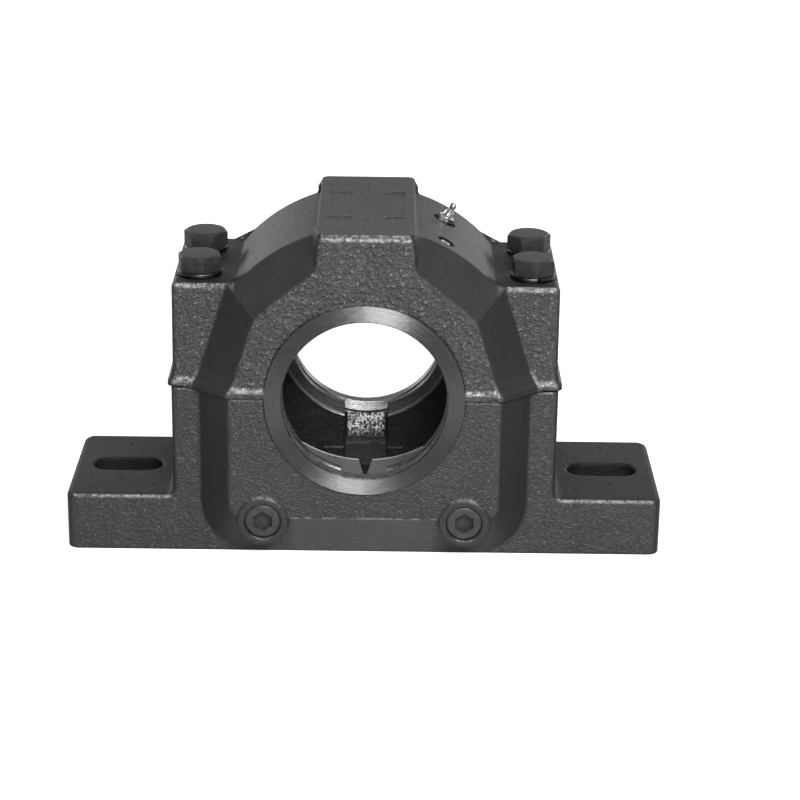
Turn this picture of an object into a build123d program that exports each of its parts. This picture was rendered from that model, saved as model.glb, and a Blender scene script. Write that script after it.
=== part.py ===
from build123d import *
import math
import os

# Split plummer block housing: base casting, cap casting, four cap bolts with spring
# washers, two drain plugs, grease nipple, port plug and two dowel pins.
# Millimetres. X runs along the foot, Y along the shaft, Z up, origin under the middle.

# Shaft height, crown over the bearing and bearing size
shaft_height = 160.0
seat_radius = 115.0
seat_half_width = 44.0
seat_chamfer = 1.5
chamber_depth = 11.0
chamber_width = 30.0
chamber_fillet = 8.0
crown_wall = 26.0
end_wall = 29.0

# Foot with its slots, counted outwards from the bolt columns
foot_width = 150.0
foot_height = 55.0
foot_corner = 11.0
foot_end_wall = 17.0
slot_gap = 9.0
slot_length = 66.0
slot_width = 31.0
slot_edge = 2.0

# Bolt columns of the base and lugs of the cap
bolt_inset = 1.0
bolt_spacing_y = 76.0
column_wall = 25.0
column_edge = 5.5
column_foot_fillet = 7.0
lug_setback = 1.5
lug_height = 98.0
lug_draft = 4.0
lug_top_edge = 5.0
seat_recess = 1.0
bolt_seat_radius = 22.5
pry_gap = 2.2
pry_length = 18.0
pry_depth = 14.0

# Swelled end walls. Outer sizes hold at the foot face, inner ones at the front face,
# and what is inset from the crown is measured inwards from its radius
base_swell_inset = 30.0
base_keel_inner = 45.0
base_corner_outer = 50.0
base_corner_inner = 14.0
cap_swell_reach = 11.0
cap_swell_inset = 30.5
shoulder_reach = 9.8
shoulder_inset = 28.8
shoulder_drop = 24.0
shoulder_rise_outer = 10.0
shoulder_rise_inner = 12.0
shoulder_turn_inset = 30.4
neck_margin_inner = 1.5
neck_margin_outer = 3.0
neck_rise = 32.5
neck_top_draft = 3.0
neck_fillet = 11.0
neck_root_fillet = 4.0
swell_edge = 4.0
swell_root_fillet = 5.0
crown_setback = 1.0

# Lip round the foot of the cap: height above the split and share of its full reach
lip_side = 4.6
lip_front = 3.0
lip_corner = 7.0
lip_profile = [(0.0, 0.6), (2.5, 1.0), (6.0, 1.0), (10.0, 0.45), (19.0, 0.0)]

# Pad on the crown with two plain framed panels
pad_half_width = 44.0
pad_setback = 4.0
pad_proud = 1.0
pad_corner = 7.0
pad_raise = 1.5
pad_edge = 1.2
valley_fillet = 5.0
frame_spacing_x = 49.0
frame_length = 84.0
frame_width = 23.0
frame_line = 1.6
frame_raise = 0.9

# Machined bore, seal grooves, sump and oil return chutes
bore_radius = 74.4
bore_chamfer = 1.0
ring_width = 15.6
ring_proud = 3.0
outer_lip = 12.0
groove_width = 6.0
groove_depth = 9.6
inner_lip = 6.0
flare_rise = 8.6
sump_floor = 24.0
sump_corner = 50.0
return_width = 42.0
return_undercut = 0.5
return_back_foot = 24.0
return_front_foot = 8.0
return_foot_fillet = 10.0
channel_radius = 2.2
channel_mouth_radius = 7.0
channel_taper_start = 8.0

# How far raised forms reach into the casting that carries them, and cutters run past it
sink = 2.0
overrun = 1.0

# Fasteners and fittings
bolt_radius = 12.0
bolt_length = 140.0
bolt_end_chamfer = 1.8
head_across_flats = 36.0
head_height = 15.0
head_crown_share = 0.94
head_chamfer_angle = 30.0
head_turns = {"front_left": 12.0, "front_right": 4.0, "back_left": 24.0, "back_right": 38.0}
cap_hole_radius = 13.0
thread_clearance = 0.05
tapped_extra_depth = 10.0
washer_height = 5.0
washer_radius = 20.2
washer_bore_clearance = 0.3
washer_round = 1.2
washer_split = 2.0
washer_split_angle = 25.0
washer_splits = {"front_left": 150.0, "front_right": -78.0, "back_left": 95.0, "back_right": 60.0}
dowel_radius = 5.0
dowel_length = 30.0
dowel_clearance = 0.02
dowel_chamfer = 0.8
drain_spacing = 184.0
drain_height = 41.5
drain_boss_radius = 23.4
drain_boss_proud = 1.5
drain_boss_edge = 0.9
drain_plug_radius = 16.6
drain_plug_length = 20.0
drain_plug_chamfer = 1.6
drain_plug_round = 3.4
drain_plug_sink = 0.6
drain_socket = 17.0
drain_socket_depth = 10.0
port_angle = 28.0
nipple_y = 16.0
nipple_seat_radius = 10.5
nipple_thread_radius = 5.0
nipple_thread_length = 9.0
nipple_hex = 14.0
nipple_hex_height = 6.0
nipple_hex_turn = 10.0
nipple_collar = (5.8, 0.6)
nipple_profile = [(4.6, 1.6), (4.0, 4.9), (2.6, 7.0), (2.6, 8.7), (3.3, 10.6), (3.3, 12.0), (2.2, 14.0)]
nipple_passage = 1.4
port_plug_y = -50.5
port_plug_radius = 4.8
port_plug_length = 10.0
port_plug_proud = 0.5
port_plug_chamfer = 0.6
port_plug_socket = 4.0
port_plug_socket_depth = 4.5
port_seat_radius = 7.5
port_seat_depth = 1.6
port_hole_radius = 3.0

# Centre dimples for drilling, on the feet and along the pad
dimple_radius = 2.2
dimple_depth = 1.4
dimple_tip = 0.2
foot_dimples = [(3.0, 50.0), (3.0, -38.5), (-29.0, -53.0)]
pad_dimples = [58.0, 19.0, 0.0, -56.0, -88.0]

# Sizes that follow from the ones above: inside, then outwards to the ends of the foot
chamber_radius = seat_radius + chamber_depth
crown_radius = chamber_radius + crown_wall
wall_inside = seat_half_width + chamber_width
face_distance = wall_inside + end_wall
groove_radius = bore_radius + groove_depth
flare_radius = bore_radius + flare_rise
ring_radius = bore_radius + ring_width
bolt_spacing_x = 2 * (crown_radius - bolt_inset)
column_half_length = bolt_spacing_x / 2 + column_wall
lug_half_length = column_half_length - lug_setback
slot_spacing = 2 * (column_half_length + column_foot_fillet + slot_gap) + slot_length
foot_length = slot_spacing + slot_length + 2 * foot_end_wall
foot_half_width = foot_width / 2
lug_top = shaft_height + lug_height
bolt_seat = lug_top - seat_recess
head_seat = bolt_seat + washer_height
crown_half_length = foot_half_width - lug_draft - crown_setback
base_swell_outer = bolt_spacing_x / 2
base_swell_inner = crown_radius - base_swell_inset
cap_swell_outer = bolt_spacing_x / 2 + cap_swell_reach
cap_swell_inner = crown_radius - cap_swell_inset
shoulder_outer_x = math.sqrt(crown_radius ** 2 - lug_height ** 2) + shoulder_reach
shoulder_inner_z = lug_height - shoulder_drop
shoulder_inner_x = math.sqrt((crown_radius - shoulder_inset) ** 2 - shoulder_inner_z ** 2)
turn_outer_z = lug_height + shoulder_rise_outer
turn_outer_x = math.sqrt(crown_radius ** 2 - turn_outer_z ** 2)
turn_inner_z = shoulder_inner_z + shoulder_rise_inner
turn_inner_x = math.sqrt((crown_radius - shoulder_turn_inset) ** 2 - turn_inner_z ** 2)
pad_top = crown_radius + pad_proud
pad_half_length = face_distance - pad_setback
neck_half_width_inner = pad_half_width + neck_margin_inner
neck_half_width_outer = pad_half_width + neck_margin_outer
neck_top_z = pad_top - pad_raise
neck_foot_z = neck_top_z - neck_rise
ring_face = face_distance + ring_proud
groove_outside = ring_face - outer_lip
groove_inside = groove_outside - groove_width
lip_inside = groove_inside - inner_lip
tapped_depth = bolt_length - (head_seat - shaft_height) + tapped_extra_depth
bolt_centres = {
    "front_left": (-bolt_spacing_x / 2, -bolt_spacing_y / 2),
    "front_right": (bolt_spacing_x / 2, -bolt_spacing_y / 2),
    "back_left": (-bolt_spacing_x / 2, bolt_spacing_y / 2),
    "back_right": (bolt_spacing_x / 2, bolt_spacing_y / 2),
}
sides = (-1, 1)
axis_of_shaft = Axis((0, 0, shaft_height), (0, 1, 0))
drain_face = face_distance + drain_boss_proud
seat_thickness = crown_radius - seat_radius
nipple_height = nipple_hex_height + nipple_profile[-1][1]
near = 0.01


def port_plane(y, height):
    """Plane square to the crown at the ports' angle, at a height above the shaft axis."""
    lean = math.radians(port_angle)
    out = (math.sin(lean), 0, math.cos(lean))
    place = (height * out[0], y, shaft_height + height * out[2])
    return Plane(place, x_dir=(0, 1, 0), z_dir=out)


def cap_outline(rise):
    """Half outline of the cap in plan at a rise above the split, from side to front."""
    lug_y = foot_half_width - lug_draft * rise / lug_height
    root_x = cap_swell_outer - (cap_swell_outer - shoulder_outer_x) * rise / lug_height
    face_x = cap_swell_inner - (cap_swell_inner - shoulder_inner_x) * rise / shoulder_inner_z
    share = (lug_y - crown_half_length) / (face_distance - crown_half_length)
    swell_x = root_x + (face_x - root_x) * share
    return [(lug_half_length, lug_y), (swell_x, lug_y), (face_x, face_distance)]


# Turned space inside both castings: bores, seal grooves, chambers and bearing seat
with BuildPart() as turned_space:
    with BuildSketch(Plane.YZ.offset(0)) as space_profile:
        with BuildLine():
            half = [
                (ring_face + overrun, 0),
                (ring_face + overrun, bore_radius + bore_chamfer + overrun),
                (ring_face, bore_radius + bore_chamfer),
                (ring_face - bore_chamfer, bore_radius),
                (groove_outside, bore_radius),
                (groove_outside, groove_radius),
                (groove_inside, groove_radius),
                (groove_inside, bore_radius),
                (lip_inside, bore_radius),
                (wall_inside, flare_radius),
                (wall_inside, chamber_radius),
                (seat_half_width, chamber_radius),
                (seat_half_width, seat_radius + seat_chamfer),
                (seat_half_width - seat_chamfer, seat_radius),
            ]
            whole = half + [(-y, r) for y, r in reversed(half)]
            Polyline([(y, shaft_height + r) for y, r in whole], close=True)
        make_face()
        chamber_corners = [
            corner for corner in space_profile.vertices()
            if abs(abs(corner.X) - wall_inside) < near and corner.Y > shaft_height + seat_radius
        ]
        fillet(chamber_corners, chamber_fillet)
    revolve(axis=axis_of_shaft)


# Oil chambers in the base, both sides of the bearing seat, with a sump below
with BuildPart() as oil_chambers:
    for side in sides:
        chamber_start = seat_half_width if side > 0 else -wall_inside
        with BuildSketch(Plane((0, chamber_start, 0), x_dir=(1, 0, 0), z_dir=(0, 1, 0))) as chamber_outline:
            with Locations((0, -sump_floor)):
                Rectangle(2 * chamber_radius, shaft_height + chamber_fillet - sump_floor,
                          align=(Align.CENTER, Align.MAX))
            low_corners = chamber_outline.vertices().group_by(Axis.Y)[-1]
            fillet(low_corners, sump_corner)
        extrude(amount=wall_inside - seat_half_width)
    floor_edges = [
        edge for edge in oil_chambers.edges()
        if abs(abs(edge.center().Y) - wall_inside) < near and edge.center().Z < shaft_height
    ]
    fillet(floor_edges, chamber_fillet)
    # Oil return chutes: notched through the inner lips, down the inside of each end wall
    for side in sides:
        with BuildSketch(Plane.YZ) as chute:
            chute_top = shaft_height - groove_radius - return_undercut
            Polygon(
                (side * (wall_inside - overrun), chute_top + wall_inside / 2),
                (side * groove_inside, chute_top + wall_inside / 2),
                (side * groove_inside, sump_floor + return_back_foot),
                (side * (wall_inside - overrun), sump_floor + return_front_foot),
                align=None,
            )
            chute_foot = [
                corner for corner in chute.vertices()
                if abs(corner.Y - sump_floor - return_back_foot) < near
            ]
            fillet(chute_foot, return_foot_fillet)
        extrude(amount=return_width / 2, both=True)
    # Round channel through the bottom of the bearing seat, widening to both ends
    seat_floor = shaft_height - seat_radius
    with BuildSketch(Plane.XZ.offset(-seat_half_width - overrun)):
        with Locations((0, seat_floor)):
            Circle(channel_radius)
    extrude(amount=2 * (seat_half_width + overrun))
    for side in sides:
        outward = Plane((0, side * channel_taper_start, seat_floor), x_dir=(1, 0, 0), z_dir=(0, side, 0))
        with BuildSketch(outward):
            Circle(channel_radius)
        with BuildSketch(outward.offset(seat_half_width + overrun - channel_taper_start)):
            Circle(channel_mouth_radius)
        loft()


# Base casting
with BuildPart() as housing_base:
    # Foot and bolt columns from one front outline, rounded along the whole rim
    with BuildSketch(Plane.XZ) as foot_outline:
        Rectangle(foot_length, foot_height, align=(Align.CENTER, Align.MIN))
        Rectangle(2 * column_half_length, shaft_height, align=(Align.CENTER, Align.MIN))
        inner_corners = [
            corner for corner in foot_outline.vertices()
            if abs(corner.Y - foot_height) < near and abs(abs(corner.X) - column_half_length) < near
        ]
        fillet(inner_corners, column_foot_fillet)
    extrude(amount=foot_half_width, both=True)
    foot_corners = [
        edge for edge in housing_base.edges().filter_by(Axis.Z)
        if abs(abs(edge.center().X) - foot_length / 2) < near
    ]
    fillet(foot_corners, foot_corner)
    rim = [
        edge for edge in housing_base.edges()
        if foot_height - near < edge.center().Z < shaft_height - near
        and abs(edge.center().X) > column_half_length - near
        and not (abs(edge.center().Y) < near and abs(edge.center().X) < foot_length / 2 - near)
    ]
    fillet(rim, column_edge)
    # Swelled end walls: from a wide outline at the foot face to a smaller one in front
    for side in sides:
        wall = Plane(origin=(0, 0, 0), x_dir=(-side, 0, 0), z_dir=(0, side, 0))
        with BuildSketch(wall.offset(foot_half_width)) as swell_root:
            Rectangle(2 * base_swell_outer, shaft_height, align=(Align.CENTER, Align.MIN))
            fillet(swell_root.vertices().group_by(Axis.Y)[0], base_corner_outer)
        with BuildSketch(wall.offset(face_distance)) as swell_face:
            with Locations((0, base_keel_inner)):
                Rectangle(2 * base_swell_inner, shaft_height - base_keel_inner,
                          align=(Align.CENTER, Align.MIN))
            fillet(swell_face.vertices().group_by(Axis.Y)[0], base_corner_inner)
        loft(ruled=True)
    face_rim = [
        edge for edge in housing_base.edges()
        if abs(abs(edge.center().Y) - face_distance) < near and edge.center().Z < shaft_height - near
    ]
    fillet(face_rim, swell_edge)
    swell_roots = [
        edge for edge in housing_base.edges()
        if abs(abs(edge.center().Y) - foot_half_width) < near
        and -base_corner_outer / 2 < abs(edge.center().X) - base_swell_outer < near
        and base_corner_outer / 4 < edge.center().Z < shaft_height - overrun
    ]
    fillet(swell_roots, swell_root_fillet)
    # Machined ring faces, drain bosses
    for side in sides:
        wall = Plane(origin=(0, 0, 0), x_dir=(-side, 0, 0), z_dir=(0, side, 0))
        with BuildSketch(wall.offset(face_distance - sink)):
            with Locations((0, shaft_height)):
                Circle(ring_radius)
                Rectangle(2 * ring_radius + overrun, ring_radius + overrun,
                          align=(Align.CENTER, Align.MIN), mode=Mode.SUBTRACT)
        extrude(amount=ring_proud + sink)
    with BuildSketch(Plane.XZ.offset(foot_half_width)):
        with Locations((-drain_spacing / 2, drain_height), (drain_spacing / 2, drain_height)):
            Circle(drain_boss_radius)
    extrude(amount=drain_face - foot_half_width)
    boss_rims = [
        edge for edge in housing_base.edges()
        if abs(edge.center().Y + drain_face) < near
    ]
    fillet(boss_rims, drain_boss_edge)
    # Hollow inside
    add(turned_space.part, mode=Mode.SUBTRACT)
    add(oil_chambers.part, mode=Mode.SUBTRACT)
    # Drain holes into the sump
    with BuildSketch(Plane.XZ.offset(wall_inside - chamber_fillet)):
        with Locations((-drain_spacing / 2, drain_height), (drain_spacing / 2, drain_height)):
            Circle(drain_plug_radius + thread_clearance)
    extrude(amount=drain_face - wall_inside + chamber_fillet + overrun, mode=Mode.SUBTRACT)
    # Foot slots, tapped holes and dowel holes
    with BuildSketch(Plane.XY):
        with GridLocations(slot_spacing, 0, 2, 1):
            SlotOverall(slot_length, slot_width)
    extrude(amount=foot_height, mode=Mode.SUBTRACT)
    slot_rims = [
        edge for edge in housing_base.edges()
        if abs(edge.center().Z - foot_height) < near
        and abs(abs(edge.center().X) - slot_spacing / 2) < slot_length / 2 + 10 * near
        and abs(edge.center().Y) < slot_width / 2 + 10 * near
    ]
    fillet(slot_rims, slot_edge)
    with Locations(Plane.XY.offset(shaft_height)):
        with GridLocations(bolt_spacing_x, bolt_spacing_y, 2, 2):
            Hole(bolt_radius + thread_clearance, depth=tapped_depth)
        with GridLocations(bolt_spacing_x, 0, 2, 1):
            Hole(dowel_radius + dowel_clearance, depth=dowel_length / 2 + overrun)
    # Centre dimples on the feet
    for x, y in foot_dimples:
        from_middle = slot_spacing / 2 + x
        with Locations((from_middle, y, foot_height), (-from_middle, y, foot_height)):
            Cone(dimple_tip, dimple_radius, dimple_depth,
                 align=(Align.CENTER, Align.CENTER, Align.MAX), mode=Mode.SUBTRACT)


# Cap casting
with BuildPart() as housing_cap:
    # Lug block, drawn in a little towards the top
    with BuildSketch(Plane.XY.offset(shaft_height)):
        RectangleRounded(2 * lug_half_length, foot_width, column_edge)
    with BuildSketch(Plane.XY.offset(lug_top)):
        RectangleRounded(2 * lug_half_length, foot_width - 2 * lug_draft, column_edge)
    loft(ruled=True)
    fillet(housing_cap.faces().sort_by(Axis.Z)[-1].edges(), lug_top_edge)
    # Crown over the bore, with a rounded valley where it meets the lug tops
    with BuildSketch(Plane.XZ) as crown_outline:
        with Locations((0, shaft_height)):
            Circle(crown_radius)
            Rectangle(2 * crown_radius + overrun, crown_radius + overrun,
                      align=(Align.CENTER, Align.MAX), mode=Mode.SUBTRACT)
            Rectangle(2 * crown_radius, lug_height, align=(Align.CENTER, Align.MIN))
        valleys = [
            corner for corner in crown_outline.vertices()
            if abs(corner.Y - lug_top) < near and abs(corner.X) < crown_radius - near
        ]
        fillet(valleys, valley_fillet)
    extrude(amount=crown_half_length, both=True)
    # Swelled end walls with shoulders and neck, from the crown's end to the front face
    turn_angle = math.degrees(math.acos(turn_outer_x / crown_radius))
    curl_x = neck_half_width_outer + neck_root_fillet
    curl_z = math.sqrt((crown_radius + neck_root_fillet) ** 2 - curl_x ** 2)
    curl_angle = math.degrees(math.atan2(curl_z, curl_x))
    for side in sides:
        wall = Plane(origin=(0, 0, shaft_height), x_dir=(-side, 0, 0), z_dir=(0, side, 0))
        with BuildSketch(wall.offset(crown_half_length)) as wall_root:
            with BuildLine():
                right = [
                    (cap_swell_outer, 0),
                    (shoulder_outer_x, lug_height),
                    (turn_outer_x, turn_outer_z),
                ]
                neck = [(neck_half_width_outer, curl_z), (neck_half_width_outer, neck_top_z)]
                Polyline(right)
                CenterArc((0, 0), crown_radius, turn_angle, curl_angle - turn_angle)
                CenterArc((curl_x, curl_z), neck_root_fillet, 180, curl_angle)
                Polyline(neck)
                Line(neck[-1], (-neck[-1][0], neck[-1][1]))
                Polyline([(-x, z) for x, z in neck])
                CenterArc((-curl_x, curl_z), neck_root_fillet, 0, -curl_angle)
                CenterArc((0, 0), crown_radius, 180 - curl_angle, curl_angle - turn_angle)
                Polyline([(-x, z) for x, z in right])
                Line((right[0][0], 0), (-right[0][0], 0))
            make_face()
        with BuildSketch(wall.offset(face_distance)) as wall_face:
            with BuildLine():
                right = [
                    (cap_swell_inner, 0),
                    (shoulder_inner_x, shoulder_inner_z),
                    (turn_inner_x, turn_inner_z),
                    (neck_half_width_inner, neck_foot_z),
                    (neck_half_width_inner - neck_top_draft, neck_top_z),
                ]
                Polyline(right + [(-x, z) for x, z in reversed(right)], close=True)
            make_face()
            neck_feet = [
                corner for corner in wall_face.vertices()
                if abs(corner.Y - neck_foot_z) < near
            ]
            fillet(neck_feet, neck_fillet)
        loft(ruled=True)
    face_rims = [
        edge for edge in housing_cap.edges()
        if abs(abs(edge.center().Y) - face_distance) < near and edge.center().Z > shaft_height + near
    ]
    fillet(face_rims, swell_edge)
    # Lip round the foot
    for (low, low_share), (high, high_share) in zip(lip_profile, lip_profile[1:]):
        for rise, share in ((low, low_share), (high, high_share)):
            lug_corner, swell_corner, face_corner = cap_outline(rise)
            out_x = lip_side * share
            out_y = lip_front * share
            quarter = [
                (lug_corner[0] + out_x, lug_corner[1] + out_y),
                (swell_corner[0] + out_y, swell_corner[1] + out_y),
                (face_corner[0] + out_y, face_corner[1] + out_y),
            ]
            ring = quarter + [(-x, y) for x, y in reversed(quarter)]
            ring += [(-x, -y) for x, y in quarter] + [(x, -y) for x, y in reversed(quarter)]
            with BuildSketch(Plane.XY.offset(shaft_height + rise)) as lip_section:
                Polygon(*ring, align=None)
                fillet(lip_section.vertices(), lip_corner)
        loft(ruled=True)
    # Pad on the crown with two plain frames
    with BuildSketch(Plane.XY.offset(shaft_height + seat_radius + seat_thickness / 2)):
        RectangleRounded(2 * pad_half_width, 2 * pad_half_length, pad_corner)
    extrude(amount=pad_top - seat_radius - seat_thickness / 2)
    fillet(housing_cap.faces().sort_by(Axis.Z)[-1].edges(), pad_edge)
    with BuildSketch(Plane.XY.offset(shaft_height + pad_top)):
        with GridLocations(frame_spacing_x, 0, 2, 1):
            Rectangle(frame_width, frame_length)
            Rectangle(frame_width - 2 * frame_line, frame_length - 2 * frame_line, mode=Mode.SUBTRACT)
    extrude(amount=frame_raise)
    # Machined ring faces
    for side in sides:
        wall = Plane(origin=(0, 0, shaft_height), x_dir=(-side, 0, 0), z_dir=(0, side, 0))
        with BuildSketch(wall.offset(face_distance - sink)):
            Circle(ring_radius)
            Rectangle(2 * ring_radius + overrun, ring_radius + overrun,
                      align=(Align.CENTER, Align.MAX), mode=Mode.SUBTRACT)
        extrude(amount=ring_proud + sink)
    add(turned_space.part, mode=Mode.SUBTRACT)
    # Spot faces, bolt holes and dowel holes
    with Locations(Plane.XY.offset(bolt_seat)):
        with GridLocations(bolt_spacing_x, bolt_spacing_y, 2, 2):
            Cylinder(bolt_seat_radius, seat_recess + overrun,
                     align=(Align.CENTER, Align.CENTER, Align.MIN), mode=Mode.SUBTRACT)
            Hole(cap_hole_radius, depth=bolt_seat - shaft_height)
    with Locations(Plane.XY.offset(shaft_height)):
        with GridLocations(bolt_spacing_x, 0, 2, 1):
            Cylinder(dowel_radius + dowel_clearance, dowel_length / 2 + overrun,
                     align=(Align.CENTER, Align.CENTER, Align.MIN), mode=Mode.SUBTRACT)
    # Pry gaps under the lug corners
    pry_x = lug_half_length + lip_side
    pry_y = foot_half_width + lip_front
    with Locations(Plane.XY.offset(shaft_height)):
        with GridLocations(2 * pry_x - pry_length, 2 * pry_y - pry_depth, 2, 2):
            Box(pry_length, pry_depth, pry_gap, align=(Align.CENTER, Align.CENTER, Align.MIN),
                mode=Mode.SUBTRACT)
    # Ports for the grease nipple and the plug beside it
    with Locations(port_plane(nipple_y, crown_radius - port_seat_depth)):
        Cylinder(nipple_seat_radius, 3 * port_seat_depth, align=(Align.CENTER, Align.CENTER, Align.MIN),
                 mode=Mode.SUBTRACT)
        Hole(nipple_thread_radius + thread_clearance, depth=nipple_thread_length + overrun)
        Hole(port_hole_radius, depth=seat_thickness + overrun)
    with Locations(port_plane(port_plug_y, crown_radius - port_seat_depth)):
        Cylinder(port_seat_radius, 3 * port_seat_depth, align=(Align.CENTER, Align.CENTER, Align.MIN),
                 mode=Mode.SUBTRACT)
        Hole(port_plug_radius + thread_clearance, depth=port_plug_length + overrun)
        Hole(port_hole_radius, depth=seat_thickness + overrun)
    # Centre dimples along the pad
    for y in pad_dimples:
        with Locations((0, y, shaft_height + pad_top)):
            Cone(dimple_tip, dimple_radius, dimple_depth,
                 align=(Align.CENTER, Align.CENTER, Align.MAX), mode=Mode.SUBTRACT)


housing_base.part.label = "housing_base"
housing_cap.part.label = "housing_cap"
finished = [housing_base.part, housing_cap.part]


# Cap bolts with hexagon heads, on spring washers
head_corner = head_across_flats / math.sqrt(3)
crown_land = head_across_flats / 2 * head_crown_share
head_slope = (head_corner + overrun - crown_land) * math.tan(math.radians(head_chamfer_angle))
for corner, (x, y) in bolt_centres.items():
    turn = math.radians(head_turns[corner])
    seat = Plane(origin=(x, y, head_seat), x_dir=(math.cos(turn), math.sin(turn), 0), z_dir=(0, 0, 1))
    with BuildPart() as cap_bolt:
        with BuildSketch(seat):
            Circle(bolt_radius)
        extrude(amount=-bolt_length)
        chamfer(cap_bolt.faces().sort_by(Axis.Z)[0].edges(), bolt_end_chamfer)
        with BuildSketch(seat):
            RegularPolygon(head_across_flats / 2, 6, major_radius=False)
        extrude(amount=head_height)
        with BuildSketch(Plane(origin=seat.origin, x_dir=(1, 0, 0), z_dir=(0, -1, 0))):
            Polygon(
                (0, -bolt_length - overrun),
                (head_corner + overrun, -bolt_length - overrun),
                (head_corner + overrun, head_height - head_slope),
                (crown_land, head_height),
                (0, head_height),
                align=None,
            )
        revolve(axis=Axis((x, y, 0), (0, 0, 1)), mode=Mode.INTERSECT)
    cap_bolt.part.label = "cap_bolt_" + corner
    finished.append(cap_bolt.part)

    split_turn = math.radians(washer_splits[corner])
    split_side = Plane(origin=(x, y, bolt_seat), x_dir=(math.cos(split_turn), math.sin(split_turn), 0),
                       z_dir=(0, 0, 1))
    with BuildPart() as spring_washer:
        with BuildSketch(split_side):
            Circle(washer_radius)
            Circle(bolt_radius + washer_bore_clearance, mode=Mode.SUBTRACT)
        extrude(amount=washer_height)
        outer_rims = spring_washer.edges().filter_by(GeomType.CIRCLE).group_by(SortBy.RADIUS)[-1]
        fillet(outer_rims, washer_round)
        with Locations(split_side.offset(washer_height / 2)):
            with Locations((washer_radius / 2 + bolt_radius / 2, 0, 0)):
                Box(washer_radius, washer_split, 3 * washer_height, rotation=(washer_split_angle, 0, 0),
                    mode=Mode.SUBTRACT)
    spring_washer.part.label = "spring_washer_" + corner
    finished.append(spring_washer.part)


# Dowel pins across the split, between the bolts
for place, side in (("left", -1), ("right", 1)):
    with BuildPart() as dowel_pin:
        with BuildSketch(Plane((side * bolt_spacing_x / 2, 0, shaft_height - dowel_length / 2))):
            Circle(dowel_radius)
        extrude(amount=dowel_length)
        chamfer(dowel_pin.edges().filter_by(GeomType.CIRCLE), dowel_chamfer)
    dowel_pin.part.label = "dowel_pin_" + place
    finished.append(dowel_pin.part)


# Drain plugs with hexagon sockets, one at each end of the sump
for place, side in (("left", -1), ("right", 1)):
    plug_face = Plane((side * drain_spacing / 2, -drain_face + drain_plug_sink, drain_height),
                      x_dir=(1, 0, 0), z_dir=(0, -1, 0))
    with BuildPart() as drain_plug:
        with BuildSketch(plug_face):
            Circle(drain_plug_radius)
        extrude(amount=-drain_plug_length)
        inner_rim, outer_rim = drain_plug.edges().filter_by(GeomType.CIRCLE).sort_by(Axis.Y, reverse=True)
        chamfer(inner_rim, drain_plug_chamfer)
        fillet(outer_rim, drain_plug_round)
        with BuildSketch(plug_face):
            RegularPolygon(drain_socket / 2, 6, major_radius=False, rotation=30)
        extrude(amount=-drain_socket_depth, mode=Mode.SUBTRACT)
    drain_plug.part.label = "drain_plug_" + place
    finished.append(drain_plug.part)


# Grease nipple: hexagon, tapered stem and grip head, with a passage through it
nipple_seat = port_plane(nipple_y, crown_radius - port_seat_depth)
with BuildPart() as grease_nipple:
    with BuildSketch(nipple_seat):
        Circle(nipple_thread_radius)
    extrude(amount=-nipple_thread_length)
    with BuildSketch(nipple_seat):
        RegularPolygon(nipple_hex / 2, 6, major_radius=False, rotation=nipple_hex_turn)
    extrude(amount=nipple_hex_height)
    collar_radius, collar_height = nipple_collar
    with BuildSketch(Plane(nipple_seat.origin, x_dir=nipple_seat.x_dir, z_dir=nipple_seat.y_dir)):
        with BuildLine():
            stem = [(0, 0), (collar_radius, 0), (collar_radius, -nipple_hex_height - collar_height)]
            stem += [(radius, -nipple_hex_height - height) for radius, height in nipple_profile]
            Polyline(stem + [(0, -nipple_height)], close=True)
        make_face()
    revolve(axis=Axis(nipple_seat.origin, nipple_seat.z_dir))
    with Locations(nipple_seat.offset(nipple_height)):
        Hole(nipple_passage, depth=nipple_height + nipple_thread_length)
grease_nipple.part.label = "grease_nipple"
finished.append(grease_nipple.part)


# Socket plug in the second port
port_face = port_plane(port_plug_y, crown_radius - port_seat_depth)
with BuildPart() as port_plug:
    with BuildSketch(port_face.offset(port_plug_proud)):
        Circle(port_plug_radius)
    extrude(amount=-port_plug_length)
    chamfer(port_plug.edges().filter_by(GeomType.CIRCLE), port_plug_chamfer)
    with BuildSketch(port_face.offset(port_plug_proud)):
        RegularPolygon(port_plug_socket / 2, 6, major_radius=False)
    extrude(amount=-port_plug_socket_depth, mode=Mode.SUBTRACT)
port_plug.part.label = "port_plug"
finished.append(port_plug.part)


os.makedirs("parts", exist_ok=True)
for piece in finished:
    export_step(piece, "parts/" + piece.label + ".step")
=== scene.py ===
"""Dresses the split plummer block housing: finishes, fasteners, fittings, light and camera.

Everything is in metres in the frame of the solid model: X runs along the foot, Y along the
shaft, Z is up and the foot stands on Z = 0. The two castings keep their solid shapes and get
painted and machined finishes by zone. The cap bolts and spring washers are built here. The
plugs, pins and the nipple keep their solid shapes under steel finishes.
"""

import logging
import math
from dataclasses import dataclass, field
from enum import Enum
from functools import partial, reduce
from typing import Optional, Sequence, Union

import bmesh
import bpy
from mathutils import Matrix, Vector

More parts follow.
